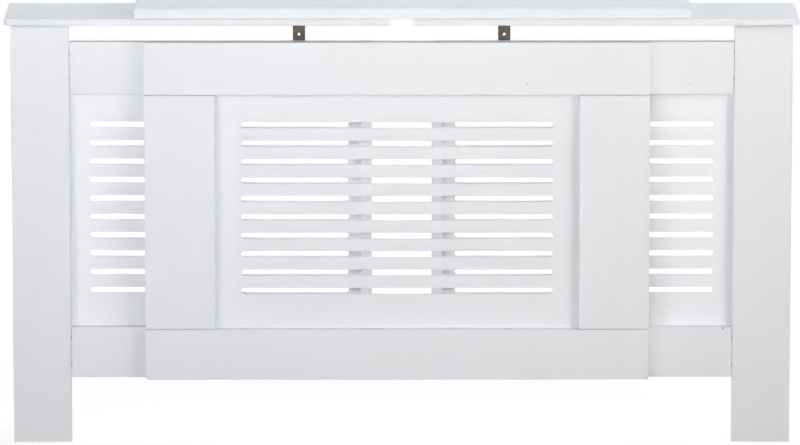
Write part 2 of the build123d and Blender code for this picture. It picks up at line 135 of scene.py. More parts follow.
@contextmanager
def editing(piece: Piece) -> Iterator[None]:
    """Opens a piece in edit mode with nothing selected, and closes it again."""
    take(piece)
    bpy.ops.object.mode_set(mode="EDIT")
    bpy.ops.mesh.select_all(action="DESELECT")
    try:
        yield
    finally:
        bpy.ops.object.mode_set(mode="OBJECT")


@contextmanager
def picking(piece: Piece, what: Pick) -> Iterator[bmesh.types.BMesh]:
    """Opens the mesh of a piece in edit mode with nothing selected, to select parts of one kind."""
    bpy.ops.mesh.select_mode(type=what.value)
    bpy.ops.mesh.select_all(action="DESELECT")
    mesh = bmesh.from_edit_mesh(piece.data)
    yield mesh
    mesh.select_flush_mode()
    bmesh.update_edit_mesh(piece.data)


def choose(piece: Piece, what: Pick, test: Callable[[Sequence[Vector]], bool]) -> None:
    """Selects the parts of a piece in edit mode whose points pass a test.

    Args:
        piece: The piece in edit mode.
        what: Vertices, edges or faces.
        test: Given the points of one part, whether it is taken.
    """
    with picking(piece, what) as mesh:
        parts = {Pick.VERTICES: mesh.verts, Pick.EDGES: mesh.edges, Pick.FACES: mesh.faces}[what]
        for part in parts:
            points = [part.co] if what is Pick.VERTICES else [v.co for v in part.verts]
            if test(points):
                part.select_set(True)


def choose_creases(
    piece: Piece, test: Callable[[Vector, Vector], bool] = lambda a, b: True, angle: float = 50.0
) -> None:
    """Selects the edges of a piece in edit mode where two faces meet sharply and that pass a test.

    Args:
        piece: The piece in edit mode.
        test: Given an edge's two ends, whether it may be taken.
        angle: The least angle between the faces, in degrees.
    """
    with picking(piece, Pick.EDGES) as mesh:
        for edge in mesh.edges:
            if edge.is_manifold and edge.calc_face_angle() > math.radians(angle):
                if test(edge.verts[0].co, edge.verts[1].co):
                    edge.select_set(True)


def apply_place(piece: Piece) -> None:
    """Moves a piece's place, turn and size into its mesh."""
    take(piece)
    bpy.ops.object.transform_apply(location=True, rotation=True, scale=True)


def apply_modifiers(piece: Piece) -> None:
    """Applies every modifier of a piece, in order."""
    take(piece)
    for modifier in list(piece.modifiers):
        bpy.ops.object.modifier_apply(modifier=modifier.name)


def grow(scale: Point, centre: Point | Vector) -> None:
    """Scales what is selected in edit mode about a point."""
    bpy.ops.transform.resize(value=scale, center_override=tuple(centre), orient_type="GLOBAL")


def shift(step: Point) -> None:
    """Moves what is selected in edit mode."""
    bpy.ops.transform.translate(value=step, orient_type="GLOBAL")


def pull_edges(step: Point) -> None:
    """Extrudes the selected edges in edit mode by a step."""
    bpy.ops.mesh.extrude_edges_move(TRANSFORM_OT_translate={"value": step, "orient_type": "GLOBAL"})


def pull_faces(step: Point) -> None:
    """Extrudes the selected faces in edit mode by a step."""
    bpy.ops.mesh.extrude_region_move(TRANSFORM_OT_translate={"value": step, "orient_type": "GLOBAL"})


def round_edges(radius: float, segments: int = 3) -> None:
    """Rounds the selected edges in edit mode."""
    bpy.ops.mesh.bevel(offset=radius, segments=segments, profile=0.5, affect="EDGES", clamp_overlap=True)


def name_new(name: str) -> Piece:
    """Names the piece that was added last and hands it back."""
    piece = bpy.context.active_object
    piece.name = piece.data.name = name
    return piece


def new_sheet(
    name: str, middle: Sequence[float], size: tuple[float, float], turn: Point = (0.0, 0.0, 0.0)
) -> Piece:
    """Adds a flat sheet.

    Args:
        name: The piece's name.
        middle: Its middle.
        size: Its two sides.
        turn: How it is turned from lying flat, in radians.

    Returns:
        The sheet, with its place in its mesh.
    """
    clear_selection()
    bpy.ops.mesh.primitive_plane_add(size=1.0, location=middle, rotation=turn)
    piece = name_new(name)
    piece.scale = (*size, 1)
    apply_place(piece)
    return piece


def new_block(name: str, low: Sequence[float], high: Sequence[float]) -> Piece:
    """Adds a block between two corners.

    Args:
        name: The piece's name.
        low: Lowest corner.
        high: Highest corner.

    Returns:
        The block, with its place in its mesh.
    """
    clear_selection()
    middle = [(a + b) / 2 for a, b in zip(low, high)]
    bpy.ops.mesh.primitive_cube_add(size=1.0, location=middle)
    piece = name_new(name)
    piece.scale = [b - a for a, b in zip(low, high)]
    apply_place(piece)
    return piece


def new_rod(
    name: str, start: Sequence[float], way: Way, radius: float, length: float, sides: int = 32
) -> Piece:
    """Adds a round rod.

    Args:
        name: The piece's name.
        start: The middle of its first end.
        way: The way it runs.
        radius: Its radius.
        length: Its length.
        sides: How many sides stand for the circle.

    Returns:
        The rod, with its place in its mesh.
    """
    clear_selection()
    middle = (0, 0, length / 2)
    bpy.ops.mesh.primitive_cylinder_add(vertices=sides, radius=radius, depth=length, location=middle)
    piece = name_new(name)
    apply_place(piece)
    piece.matrix_world = way.seat(Vector(start))
    apply_place(piece)
    return piece


def join(pieces: Sequence[Piece], name: str) -> Piece:
    """Makes one piece of several.

    Args:
        pieces: At least one piece.
        name: The name of the result.

    Returns:
        The joined piece.
    """
    clear_selection()
    for piece in pieces:
        piece.select_set(True)
    bpy.context.view_layer.objects.active = pieces[0]
    if len(pieces) > 1:
        bpy.ops.object.join()
    joined = bpy.context.view_layer.objects.active
    joined.name = joined.data.name = name
    return joined


def cut(piece: Piece, tools: Sequence[Piece]) -> None:
    """Cuts shapes out of a piece and removes the shapes.

    Args:
        piece: The piece to cut.
        tools: Closed shapes that don't touch each other.
    """
    tool = join(tools, piece.name + "_tool")
    modifier = piece.modifiers.new("cut", "BOOLEAN")
    modifier.operation = "DIFFERENCE"
    modifier.solver = "EXACT"
    modifier.object = tool
    apply_modifiers(piece)
    bpy.data.meshes.remove(tool.data)


def cut_cross(piece: Piece, head: float, blade: float, low: float, high: float) -> None:
    """Cuts the cross recess for a driver.

    Args:
        piece: The fastener, upright.
        head: The width of its head.
        blade: The width of the driver's blades.
        low: The height of the recess's floor.
        high: A height above the head.
    """
    reach, half = head * CROSS_SHARE / 2, blade / 2
    for x, y in ((reach, half), (half, reach)):
        cut(piece, [new_block("cross", (-x, -y, low), (x, y, high))])


def soften_all(piece: Piece, radius: float, segments: int = 3, angle: float = 50.0) -> None:
    """Rounds every sharp edge of a piece a little, as sanding and paint leave it."""
    with editing(piece):
        choose_creases(piece, angle=angle)
        round_edges(radius, segments)


def ease_faces(piece: Piece, low: float, high: float, upper: float, lower: float) -> None:
    """Rounds the edges of a board's upper face in edit mode, and then those of its lower face.

    Args:
        piece: The board.
        low: The height of its lower face.
        high: The height of its upper face.
        upper: How far the upper edges are rounded.
        lower: How far the lower edges are rounded.
    """
    choose_creases(piece, lambda a, b: min(a.z, b.z) > high - NEAR)
    round_edges(upper, 4)
    choose_creases(piece, lambda a, b: max(a.z, b.z) < low + NEAR)
    round_edges(lower, 3)


def thicken(piece: Piece, thickness: float) -> None:
    """Gives an open sheet of faces its thickness, half to each side."""
    modifier = piece.modifiers.new("wall", "SOLIDIFY")
    modifier.thickness = thickness
    modifier.offset = 0.0
    modifier.use_even_offset = True
    apply_modifiers(piece)


def close_up(piece: Piece, angle: float = 40.0) -> None:
    """Merges doubles, turns all faces outwards and shades a piece by its angles.

    Args:
        piece: The piece.
        angle: Edges sharper than this stay sharp, in degrees.
    """
    with editing(piece):
        bpy.ops.mesh.select_all(action="SELECT")
        bpy.ops.mesh.remove_doubles(threshold=2 * TINY)
        bpy.ops.mesh.normals_make_consistent(inside=False)
    take(piece)
    bpy.ops.object.shade_smooth_by_angle(angle=math.radians(angle))
    weights = piece.modifiers.new("weights", "WEIGHTED_NORMAL")
    weights.weight = 100
    weights.keep_sharp = True
    apply_modifiers(piece)


def place_copies(pattern: Piece, places: Sequence[Matrix], name: str) -> Piece:
    """Copies a fastener to each of its places and joins the copies.

    Args:
        pattern: One fastener, upright at the origin. It is removed.
        places: A matrix for each copy.
        name: The name of the result.

    Returns:
        All the copies as one piece.
    """
    copies = []
    for place in places:
        copy = pattern.copy()
        copy.data = pattern.data.copy()
        bpy.context.scene.collection.objects.link(copy)
        copy.matrix_world = place
        apply_place(copy)
        copies.append(copy)
    bpy.data.meshes.remove(pattern.data)
    return join(copies, name)


def solids_of(node: str) -> list[Box]:
    """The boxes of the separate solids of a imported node.

    Args:
        node: A node's name.

    Returns:
        The lowest and highest corner of each solid, in order of height, width and depth.
    """
    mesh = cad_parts[node].data
    owner: dict[Point, Point] = {}

    def root(key: Point) -> Point:
        """The first point of the solid that a point belongs to."""
        while owner[key] != key:
            owner[key] = owner[owner[key]]
            key = owner[key]
        return key

    keys = [tuple(round(c, 6) for c in v.co) for v in mesh.vertices]
    for key in keys:
        owner.setdefault(key, key)
    for face in mesh.polygons:
        first = root(keys[face.vertices[0]])
        for index in face.vertices[1:]:
            owner[root(keys[index])] = first
    groups: dict[Point, list[Point]] = {}
    for key in owner:
        groups.setdefault(root(key), []).append(key)
    boxes = [
        (Vector(min(k[i] for k in g) for i in range(3)), Vector(max(k[i] for k in g) for i in range(3)))
        for g in groups.values()
    ]
    return sorted(boxes, key=lambda b: tuple(round(c, 4) for c in (b[0].z, b[0].x, b[0].y)))


# Finishes


class Wiring:
    """A node tree being laid out, with short calls for the nodes that the finishes use."""

    def __init__(self, tree: bpy.types.NodeTree) -> None:
        """Starts with a tree."""
        self.tree = tree

    def node(self, kind: str, **settings: object) -> bpy.types.Node:
        """Adds a node and sets its properties."""
        made = self.tree.nodes.new(kind)
        for name, value in settings.items():
            setattr(made, name, value)
        return made

    def feed(self, socket: Plug, value: object) -> None:
        """Links a socket to another, or sets it to a plain value."""
        if isinstance(value, Plug):
            self.tree.links.new(value, socket)
        else:
            socket.default_value = value

    def math(self, operation: str, *values: object) -> Plug:
        """Adds a sum of values or sockets."""
        made = self.node("ShaderNodeMath", operation=operation)
        for socket, value in zip(made.inputs, values):
            self.feed(socket, value)
        return made.outputs[0]

    def vector(self, operation: str, *values: object) -> Plug:
        """Adds a vector sum. Its result is a vector, or a number where it measures a length."""
        made = self.node("ShaderNodeVectorMath", operation=operation)
        for socket, value in zip(made.inputs, values):
            self.feed(socket, value)
        return made.outputs["Value" if operation == "LENGTH" else "Vector"]

    def noise(
        self, place: object, scale: float, detail: float = 2.0, roughness: float = 0.5
    ) -> Plug:
        """Adds noise of a scale in cycles to the metre, from 0 to 1."""
        made = self.node("ShaderNodeTexNoise")
        self.feed(made.inputs["Vector"], place)
        made.inputs["Scale"].default_value = scale
        made.inputs["Detail"].default_value = detail
        made.inputs["Roughness"].default_value = roughness
        return made.outputs[0]

    def stretch(self, place: object, scale: Point) -> Plug:
        """Scales coordinates along each axis."""
        made = self.node("ShaderNodeMapping")
        self.feed(made.inputs["Vector"], place)
        made.inputs["Scale"].default_value = scale
        return made.outputs[0]

    def spread(
        self, value: object, low: object, high: object, from_low: float = 0.0, from_high: float = 1.0
    ) -> Plug:
        """Maps a value from one range to another."""
        made = self.node("ShaderNodeMapRange")
        for name, number in (("Value", value), ("From Min", from_low), ("From Max", from_high)):
            self.feed(made.inputs[name], number)
        self.feed(made.inputs["To Min"], low)
        self.feed(made.inputs["To Max"], high)
        return made.outputs[0]

    def tint(self, colour: object, factor: object) -> Plug:
        """Makes a colour lighter or darker by a factor."""
        made = self.node("ShaderNodeVectorMath", operation="SCALE")
        self.feed(made.inputs[0], colour)
        self.feed(made.inputs["Scale"], factor)
        return made.outputs[0]

    def blend(self, factor: object, first: object, second: object) -> Plug:
        """Mixes two colours."""
        made = self.node("ShaderNodeMix", data_type="RGBA")
        self.feed(made.inputs[0], factor)
        self.feed(made.inputs[6], first)
        self.feed(made.inputs[7], second)
        return made.outputs[2]


def new_group(
    name: str, takes: dict[str, Socket], gives: dict[str, Socket]
) -> tuple[Wiring, bpy.types.Node, bpy.types.Node]:
    """Starts a shader node group.

    Args:
        name: The group's name.
        takes: Its inputs.
        gives: Its outputs.

    Returns:
        The group's wiring, its input node and its output node.
    """
    tree = bpy.data.node_groups.new(name, "ShaderNodeTree")
    for label, kind in takes.items():
        tree.interface.new_socket(name=label, in_out="INPUT", socket_type=kind.value)
    for label, kind in gives.items():
        tree.interface.new_socket(name=label, in_out="OUTPUT", socket_type=kind.value)
    wiring = Wiring(tree)
    return wiring, wiring.node("NodeGroupInput"), wiring.node("NodeGroupOutput")


SURFACE = {"Colour": Socket.COLOUR, "Roughness": Socket.VALUE, "Height": Socket.VALUE}


def paint_film_group() -> bpy.types.NodeTree:
    """Sprayed and rolled paint: slow clouds of tone, faint upright streaks and a fine skin.

    Returns:
        The node group.
    """
    takes = {
        "Place": Socket.VECTOR, "Colour": Socket.COLOUR, "Clouding": Socket.VALUE,
        "Streaking": Socket.VALUE, "Roughness": Socket.VALUE, "Roughness Spread": Socket.VALUE,
        "Skin": Socket.VALUE,
    }
    w, taken, given = new_group("paint_film", takes, SURFACE)
    place = taken.outputs["Place"]
    cloud = w.noise(w.stretch(place, (1.0, 9.0, 0.8)), 2.6, 3.0)
    streak = w.noise(w.stretch(place, (1.0, 1.0, 0.035)), 46.0, 2.0)
    clouding = w.math("MULTIPLY", w.math("SUBTRACT", cloud, 0.5), taken.outputs["Clouding"])
    streaking = w.math("MULTIPLY", w.math("SUBTRACT", streak, 0.5), taken.outputs["Streaking"])
    tone = w.math("ADD", w.math("ADD", clouding, streaking), 1.0)
    w.feed(given.inputs["Colour"], w.tint(taken.outputs["Colour"], tone))
    patch = w.math("SUBTRACT", w.noise(place, 14.0, 4.0, 0.6), 0.5)
    gloss = w.math("MULTIPLY", patch, taken.outputs["Roughness Spread"])
    w.feed(given.inputs["Roughness"], w.math("ADD", taken.outputs["Roughness"], gloss))
    peel = w.noise(place, 240.0, 2.0)
    grain = w.noise(place, 900.0, 2.0)
    skin = w.math("ADD", w.math("MULTIPLY", peel, 0.65), w.math("MULTIPLY", grain, 0.35))
    w.feed(given.inputs["Height"], w.math("MULTIPLY", skin, taken.outputs["Skin"]))
    return w.tree


def metal_skin_group() -> bpy.types.NodeTree:
    """Plated or drawn metal: stains of tone, fine lines one way, and small pits.

    Returns:
        The node group.
    """
    takes = {
        "Place": Socket.VECTOR, "Light Colour": Socket.COLOUR, "Dark Colour": Socket.COLOUR,
        "Stain Size": Socket.VALUE, "Roughness": Socket.VALUE, "Roughness Spread": Socket.VALUE,
        "Lines": Socket.VALUE, "Pits": Socket.VALUE,
    }
    w, taken, given = new_group("metal_skin", takes, SURFACE)
    place = taken.outputs["Place"]
    sized = w.tint(place, taken.outputs["Stain Size"])
    stain = w.spread(w.noise(sized, 1.0, 4.0, 0.6), 0.0, 1.0, 0.32, 0.68)
    colour = w.blend(stain, taken.outputs["Light Colour"], taken.outputs["Dark Colour"])
    w.feed(given.inputs["Colour"], colour)
    lines = w.noise(w.stretch(place, (0.02, 1.0, 1.0)), 2600.0, 2.0)
    pits = w.noise(place, 1500.0, 3.0, 0.6)
    wear = w.math("SUBTRACT", w.math("MULTIPLY", w.math("ADD", stain, lines), 0.5), 0.5)
    gloss = w.math("MULTIPLY", wear, taken.outputs["Roughness Spread"])
    w.feed(given.inputs["Roughness"], w.math("ADD", taken.outputs["Roughness"], gloss))
    drawn = w.math("MULTIPLY", lines, taken.outputs["Lines"])
    cast = w.math("MULTIPLY", pits, taken.outputs["Pits"])
    w.feed(given.inputs["Height"], w.math("ADD", drawn, cast))
    return w.tree


def wood_grain_group() -> bpy.types.NodeTree:
    """Plain beech: fine grain with short dark flecks.

    Returns:
        The node group.
    """
    takes = {
        "Place": Socket.VECTOR, "Pale Colour": Socket.COLOUR, "Deep Colour": Socket.COLOUR,
        "Roughness": Socket.VALUE,
    }
    w, taken, given = new_group("wood_grain", takes, SURFACE)
    place = taken.outputs["Place"]
    grain = w.noise(w.stretch(place, (1.0, 1.0, 0.12)), 420.0, 4.0, 0.6)
    fleck = w.spread(w.noise(w.stretch(place, (1.0, 1.0, 0.3)), 900.0, 1.0), 0.0, 1.0, 0.62, 0.72)
    depth = w.math("MAXIMUM", grain, fleck)
    w.feed(given.inputs["Colour"], w.blend(depth, taken.outputs["Pale Colour"], taken.outputs["Deep Colour"]))
    dryness = w.math("MULTIPLY", grain, 0.1)
    w.feed(given.inputs["Roughness"], w.math("ADD", taken.outputs["Roughness"], dryness))
    w.feed(given.inputs["Height"], depth)
    return w.tree


def pin_mark_group() -> bpy.types.NodeTree:
    """A small filled pin mark: 1 in its middle, and 0 from its radius on.

    Returns:
        The node group.
    """
    takes = {"Place": Socket.VECTOR, "Centre": Socket.VECTOR, "Radius": Socket.VALUE}
    w, taken, given = new_group("pin_mark", takes, {"Mark": Socket.VALUE})
    step = w.vector("SUBTRACT", taken.outputs["Place"], taken.outputs["Centre"])
    flat = w.vector("MULTIPLY", step, (1.0, 0.0, 1.0))
    away = w.math("DIVIDE", w.vector("LENGTH", flat), taken.outputs["Radius"])
    w.feed(given.inputs["Mark"], w.spread(away, 1.0, 0.0, 0.6, 1.0))
    return w.tree


def shared_group(name: str, build: Callable[[], bpy.types.NodeTree]) -> bpy.types.NodeTree:
    """A node group by name, built the first time it is asked for."""
    return bpy.data.node_groups.get(name) or build()


def place_group(w: Wiring, tree: bpy.types.NodeTree, **values: object) -> bpy.types.Node:
    """Adds a node group to a material.

    Args:
        w: The material's wiring.
        tree: The group.
        values: Its inputs, with spaces written as underscores.

    Returns:
        The group's node.
    """
    made = w.node("ShaderNodeGroup")
    made.node_tree = tree
    for label, value in values.items():
        w.feed(made.inputs[label.replace("_", " ")], value)
    return made


def start_material(name: str) -> tuple[bpy.types.Material, Wiring, bpy.types.Node, Plug]:
    """Starts a material with nodes.

    Args:
        name: The material's name.

    Returns:
        The material, its wiring, its surface shader and its object coordinates.
    """
    material = bpy.data.materials.new(name)
    material.use_nodes = True
    w = Wiring(material.node_tree)
    shader = material.node_tree.nodes["Principled BSDF"]
    place = w.node("ShaderNodeTexCoord").outputs["Object"]
    return material, w, shader, place


def add_bump(
    w: Wiring, shader: bpy.types.Node, height: Plug, strength: float, depth: float
) -> None:
    """Feeds a height through a bump node to a shader's normal."""
    bump = w.node("ShaderNodeBump")
    bump.inputs["Strength"].default_value = strength
    bump.inputs["Distance"].default_value = depth
    w.feed(bump.inputs["Height"], height)
    w.feed(shader.inputs["Normal"], bump.outputs["Normal"])


class Finish(Protocol):
    """Anything that can make the material of a finish."""

    name: str

    def make(self) -> bpy.types.Material:
        """Makes the material."""


@dataclass(frozen=True)
class PaintFinish:
    """Satin white paint on board."""

    name: str
    colour: Colour = (0.84, 0.855, 0.88, 1.0)
    clouding: float = 0.035
    streaking: float = 0.018
    roughness: float = 0.6
    roughness_spread: float = 0.12
    skin: float = 1.0
    specular: float = 0.4
    marks: tuple[Point, ...] = ()
    mark_shade: float = 0.5

    def make(self) -> bpy.types.Material:
        """Makes the painted material, with its pin marks if it has any."""
        material, w, shader, place = start_material(self.name)
        film = place_group(
            w, shared_group("paint_film", paint_film_group), Place=place, Colour=self.colour,
            Clouding=self.clouding, Streaking=self.streaking, Roughness=self.roughness,
            Roughness_Spread=self.roughness_spread, Skin=self.skin,
        )
        colour, height = film.outputs["Colour"], film.outputs["Height"]
        for x, z, radius in self.marks:
            mark = place_group(
                w, shared_group("pin_mark", pin_mark_group), Place=place, Centre=(x, 0.0, z), Radius=radius
            ).outputs["Mark"]
            colour = w.tint(colour, w.spread(mark, 1.0, self.mark_shade))
            height = w.math("SUBTRACT", height, mark)
        w.feed(shader.inputs["Base Color"], colour)
        w.feed(shader.inputs["Roughness"], film.outputs["Roughness"])
        shader.inputs["Specular IOR Level"].default_value = self.specular
        add_bump(w, shader, height, 0.22, 0.12 * MM)
        return material


@dataclass(frozen=True)
class MetalFinish:
    """A plated, cast or drawn metal."""

    name: str
    light: Colour
    dark: Colour
    roughness: float
    roughness_spread: float = 0.15
    stain_size: float = 120.0
    lines: float = 0.5
    pits: float = 0.5
    bump: float = 0.2

    def make(self) -> bpy.types.Material:
        """Makes the metal material."""
        material, w, shader, place = start_material(self.name)
        skin = place_group(
            w, shared_group("metal_skin", metal_skin_group), Place=place, Light_Colour=self.light,
            Dark_Colour=self.dark, Stain_Size=self.stain_size, Roughness=self.roughness,
            Roughness_Spread=self.roughness_spread, Lines=self.lines, Pits=self.pits,
        )
        w.feed(shader.inputs["Base Color"], skin.outputs["Colour"])
        w.feed(shader.inputs["Roughness"], skin.outputs["Roughness"])
        shader.inputs["Metallic"].default_value = 1.0
        add_bump(w, shader, skin.outputs["Height"], self.bump, 0.05 * MM)
        return material


@dataclass(frozen=True)
class WoodFinish:
    """Plain unfinished wood."""

    name: str
    pale: Colour
    deep: Colour
    roughness: float = 0.65

    def make(self) -> bpy.types.Material:
        """Makes the wood material."""
        material, w, shader, place = start_material(self.name)
        grain = place_group(
            w, shared_group("wood_grain", wood_grain_group), Place=place, Pale_Colour=self.pale,
            Deep_Colour=self.deep, Roughness=self.roughness,
        )
        w.feed(shader.inputs["Base Color"], grain.outputs["Colour"])
        w.feed(shader.inputs["Roughness"], grain.outputs["Roughness"])
        add_bump(w, shader, grain.outputs["Height"], 0.3, 0.1 * MM)
        return material


class Coat(Enum):
    """Every finish on the cabinet, with the material slot it belongs to."""

    BOARD = "white_paint"
    MARKED_BOARD = "marked"
    GRILLE = "grille"
    SIDE_GRILLE = "side_grille"
    UNDERCOAT = "undercoat"
    BRONZED = "bronzed_steel"
    ZINC = "zinc_plate"
    CAST = "cast_zinc"
    ALUMINIUM = "anodised_aluminium"
    BEECH = "beech"

    @property
    def slot(self) -> str:
        """The record's material slot."""
        painted = (Coat.MARKED_BOARD, Coat.GRILLE, Coat.SIDE_GRILLE, Coat.UNDERCOAT)
        return "white_paint" if self in painted else self.value


@dataclass
class FinishShop:
    """Makes each finish once and hands it out."""

    finishes: dict[Coat, Finish] = field(
        default_factory=lambda: {
            Coat.BOARD: PaintFinish("satin_white_board"),
            Coat.MARKED_BOARD: PaintFinish(
                "satin_white_marked",
                marks=((0.2315, 0.682, 1.45 * MM), (0.5345, 0.679, 1.5 * MM), (0.5985, 0.2165, 2.5 * MM)),
            ),
            Coat.GRILLE: PaintFinish("satin_white_grille", streaking=0.008, roughness=0.6),
            # Side grilles: the white paint made lighter, as painted light.
            Coat.SIDE_GRILLE: PaintFinish(
                "satin_white_side_grille", colour=(0.89, 0.905, 0.93, 1.0), streaking=0.008, roughness=0.6
            ),
            # Inner stiles: the white paint made darker, as painted shade for where they sit behind the centre
            # grille.
            Coat.UNDERCOAT: PaintFinish(
                "undercoat_only", colour=(0.69, 0.705, 0.73, 1.0), clouding=0.05, roughness=0.65, specular=0.3
            ),
            # Bracket and its screws: dark bronzed steel, its colour darkened further as painted shade.
            Coat.BRONZED: MetalFinish(
                "bronzed_steel", (0.118, 0.102, 0.096, 1.0), (0.062, 0.05, 0.043, 1.0), 0.48,
                lines=0.3, stain_size=260.0,
            ),
            Coat.ZINC: MetalFinish(
                "zinc_plate", (0.70, 0.70, 0.69, 1.0), (0.58, 0.59, 0.60, 1.0), 0.32, stain_size=300.0
            ),
            Coat.CAST: MetalFinish(
                "cast_zinc", (0.56, 0.57, 0.58, 1.0), (0.42, 0.43, 0.44, 1.0), 0.55,
                lines=0.0, pits=1.0, bump=0.5,
            ),
            Coat.ALUMINIUM: MetalFinish(
                "anodised_aluminium", (0.77, 0.78, 0.80, 1.0), (0.71, 0.72, 0.74, 1.0), 0.38,
                lines=0.8, pits=0.1,
            ),
            Coat.BEECH: WoodFinish("plain_beech", (0.72, 0.54, 0.36, 1.0), (0.55, 0.37, 0.22, 1.0)),
        }
    )
    made: dict[Coat, bpy.types.Material] = field(default_factory=dict)

    def material(self, coat: Coat) -> bpy.types.Material:
        """The material of a finish, made on first use."""
        if coat not in self.made:
            self.made[coat] = self.finishes[coat].make()
        return self.made[coat]

    def dress(self, piece: Piece, coat: Coat) -> None:
        """Puts a finish on a piece."""
        piece.data.materials.clear()
        piece.data.materials.append(self.material(coat))


@dataclass
class Fitter:
    """Finishes pieces: gives them their finish, ties them to a body and to what they replace."""

    shop: FinishShop

    def fit(self, piece: Piece, coat: Coat, body: str, *nodes: str) -> None:
        """Ties a new piece into the frame.

        Args:
            piece: The modelled piece, with its place in its mesh.
            coat: Its finish.
            body: The body it rides on.
            nodes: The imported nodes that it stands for.
        """
        self.shop.dress(piece, coat)
        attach(piece, body)
        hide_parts(*nodes)
        LOG.info("%s rides on %s with %d faces", piece.name, body, len(piece.data.polygons))

    def keep(self, node: str, coat: Coat) -> None:
        """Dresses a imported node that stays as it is."""
        self.shop.dress(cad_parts[node], coat)
        LOG.info("%s keeps its packed shape", node)


# Fasteners, each modelled upright at the origin


@dataclass
class PanScrew:
    """A pan-head wood screw with a cross recess and a ridged shank."""

    diameter: float
    head: float
    length: float
    head_share: float = 0.3
    pitch_share: float = 0.42
    dome_share: float = 0.6
    recess_share: float = 0.35
    blade: float = 0.9 * MM
    root_share: float = 0.8
    tip_share: float = 0.8
    point_share: float = 0.2

    @property
    def head_height(self) -> float:
        """How far the head stands out."""
        return self.head * self.head_share

    def pattern(self) -> Piece:
        """Models one screw, its head above the origin and its shank below."""
        screw = new_rod("screw", (0, 0, 0), Way.UP, self.head / 2, self.head_height, 24)
        with editing(screw):
            choose(screw, Pick.EDGES, lambda p: all(v.z > self.head_height - TINY for v in p))
            round_edges(self.head_height * self.dome_share, 5)
        cut_cross(screw, self.head, self.blade, self.head_height * self.recess_share, self.head_height * 2)
        return join([screw, self.shank()], "screw")

    def shank(self) -> Piece:
        """Models the shank: a waist under the head, ridges for the thread, and a point."""
        radius, sides = self.diameter / 2, 12
        clear_selection()
        bpy.ops.mesh.primitive_circle_add(vertices=sides, radius=radius * self.root_share, fill_type="NGON")
        shank = bpy.context.active_object
        apply_place(shank)
        pitch = self.diameter * self.pitch_share
        tip = self.diameter * self.tip_share
        turns = int((self.length - tip - pitch) / pitch)
        with editing(shank):
            bpy.ops.mesh.select_all(action="SELECT")
            depth = 0.0
            for _ in range(turns):
                for share in (1.0 / self.root_share, self.root_share):
                    pull_faces((0, 0, -pitch / 2))
                    depth += pitch / 2
                    grow((share, share, 1), (0, 0, -depth))
            pull_faces((0, 0, depth - self.length))
            grow((self.point_share, self.point_share, 1), (0, 0, -self.length))
        return shank


@dataclass
class FlushScrew:
    """A countersunk wood screw with a cross recess."""

    diameter: float
    head: float
    length: float
    recess_share: float = 0.8
    blade: float = 0.7 * MM
    rim: float = 0.15 * MM

    def pattern(self) -> Piece:
        """Models one screw whose flat head ends at the origin."""
        sink = (self.head - self.diameter) / 2
        screw = PanScrew(self.diameter, self.head, self.length).shank()
        clear_selection()
        bpy.ops.mesh.primitive_cone_add(
            vertices=24, radius1=self.diameter / 2, radius2=self.head / 2, depth=sink,
            location=(0, 0, -sink / 2),
        )
        cap = bpy.context.active_object
        apply_place(cap)
        with editing(cap):
            choose_creases(cap, lambda a, b: a.z > -TINY and b.z > -TINY, 30)
            round_edges(self.rim, 2)
        cut_cross(cap, self.head, self.blade, -sink * self.recess_share, MM)
        return join([cap, screw], "screw")


@dataclass
class HexScrew:
    """A hexagon screw with a chamfered head and a ridged shank."""

    diameter: float = 6.0 * MM
    across_flats: float = 10.0 * MM
    head_height: float = 4.0 * MM
    length: float = 30.0 * MM
    facet: float = 0.7 * MM
    facet_drop: float = 0.45 * MM
    burr: float = 0.12 * MM
    rim_share: float = 0.95
    pitch_share: float = 0.17

    def pattern(self) -> Piece:
        """Models one screw, its head above the origin and its shank below."""
        corner = self.across_flats / 2 / math.cos(math.pi / 6)
        top = self.head_height - TINY
        head = new_rod("screw", (0, 0, 0), Way.UP, corner, self.head_height, 6)
        with editing(head):
            choose(head, Pick.FACES, lambda p: all(v.z > top for v in p))
            bpy.ops.mesh.inset(thickness=self.facet, depth=0.0)
            rim = corner * self.rim_share
            choose(head, Pick.EDGES, lambda p: all(v.z > top and v.xy.length > rim for v in p))
            shift((0, 0, -self.facet_drop))
            choose_creases(head, angle=25)
            round_edges(self.burr, 2)
        shank = PanScrew(self.diameter, self.across_flats, self.length, pitch_share=self.pitch_share).shank()
        return join([head, shank], "screw")


@dataclass
class Washer:
    """A flat washer with rounded edges."""

    outer: float = 12.5 * MM
    inner: float = 6.8 * MM
    thickness: float = 1.6 * MM
    edge: float = 0.25 * MM

    def pattern(self) -> Piece:
        """Models one washer that lies on the origin."""
        clear_selection()
        middle = (0, 0, self.thickness / 2)
        bpy.ops.mesh.primitive_circle_add(vertices=32, radius=self.outer / 2, location=middle)
        washer = bpy.context.active_object
        apply_place(washer)
        with editing(washer):
            bpy.ops.mesh.select_all(action="SELECT")
            pull_edges((0, 0, 0))
            share = self.inner / self.outer
            grow((share, share, 1), (0, 0, 0))
        thicken(washer, self.thickness)
        soften_all(washer, self.edge, 2)
        return washer


@dataclass
class ChannelNut:
    """A channel nut with eased edges and a plain bore."""

    width: float = 13.0 * MM
    height: float = 16.0 * MM
    thickness: float = 5.0 * MM
    bore: float = 6.2 * MM
    edge: float = 0.35 * MM

    def pattern(self) -> Piece:
        """Models one nut that lies below the origin."""
        low = (-self.width / 2, -self.height / 2, -self.thickness)
        nut = new_block("nut", low, (self.width / 2, self.height / 2, 0))
        start, reach = (0, 0, -self.thickness - MM), self.thickness + 2 * MM
        cut(nut, [new_rod("bore", start, Way.UP, self.bore / 2, reach)])
        soften_all(nut, self.edge, 2)
        return nut


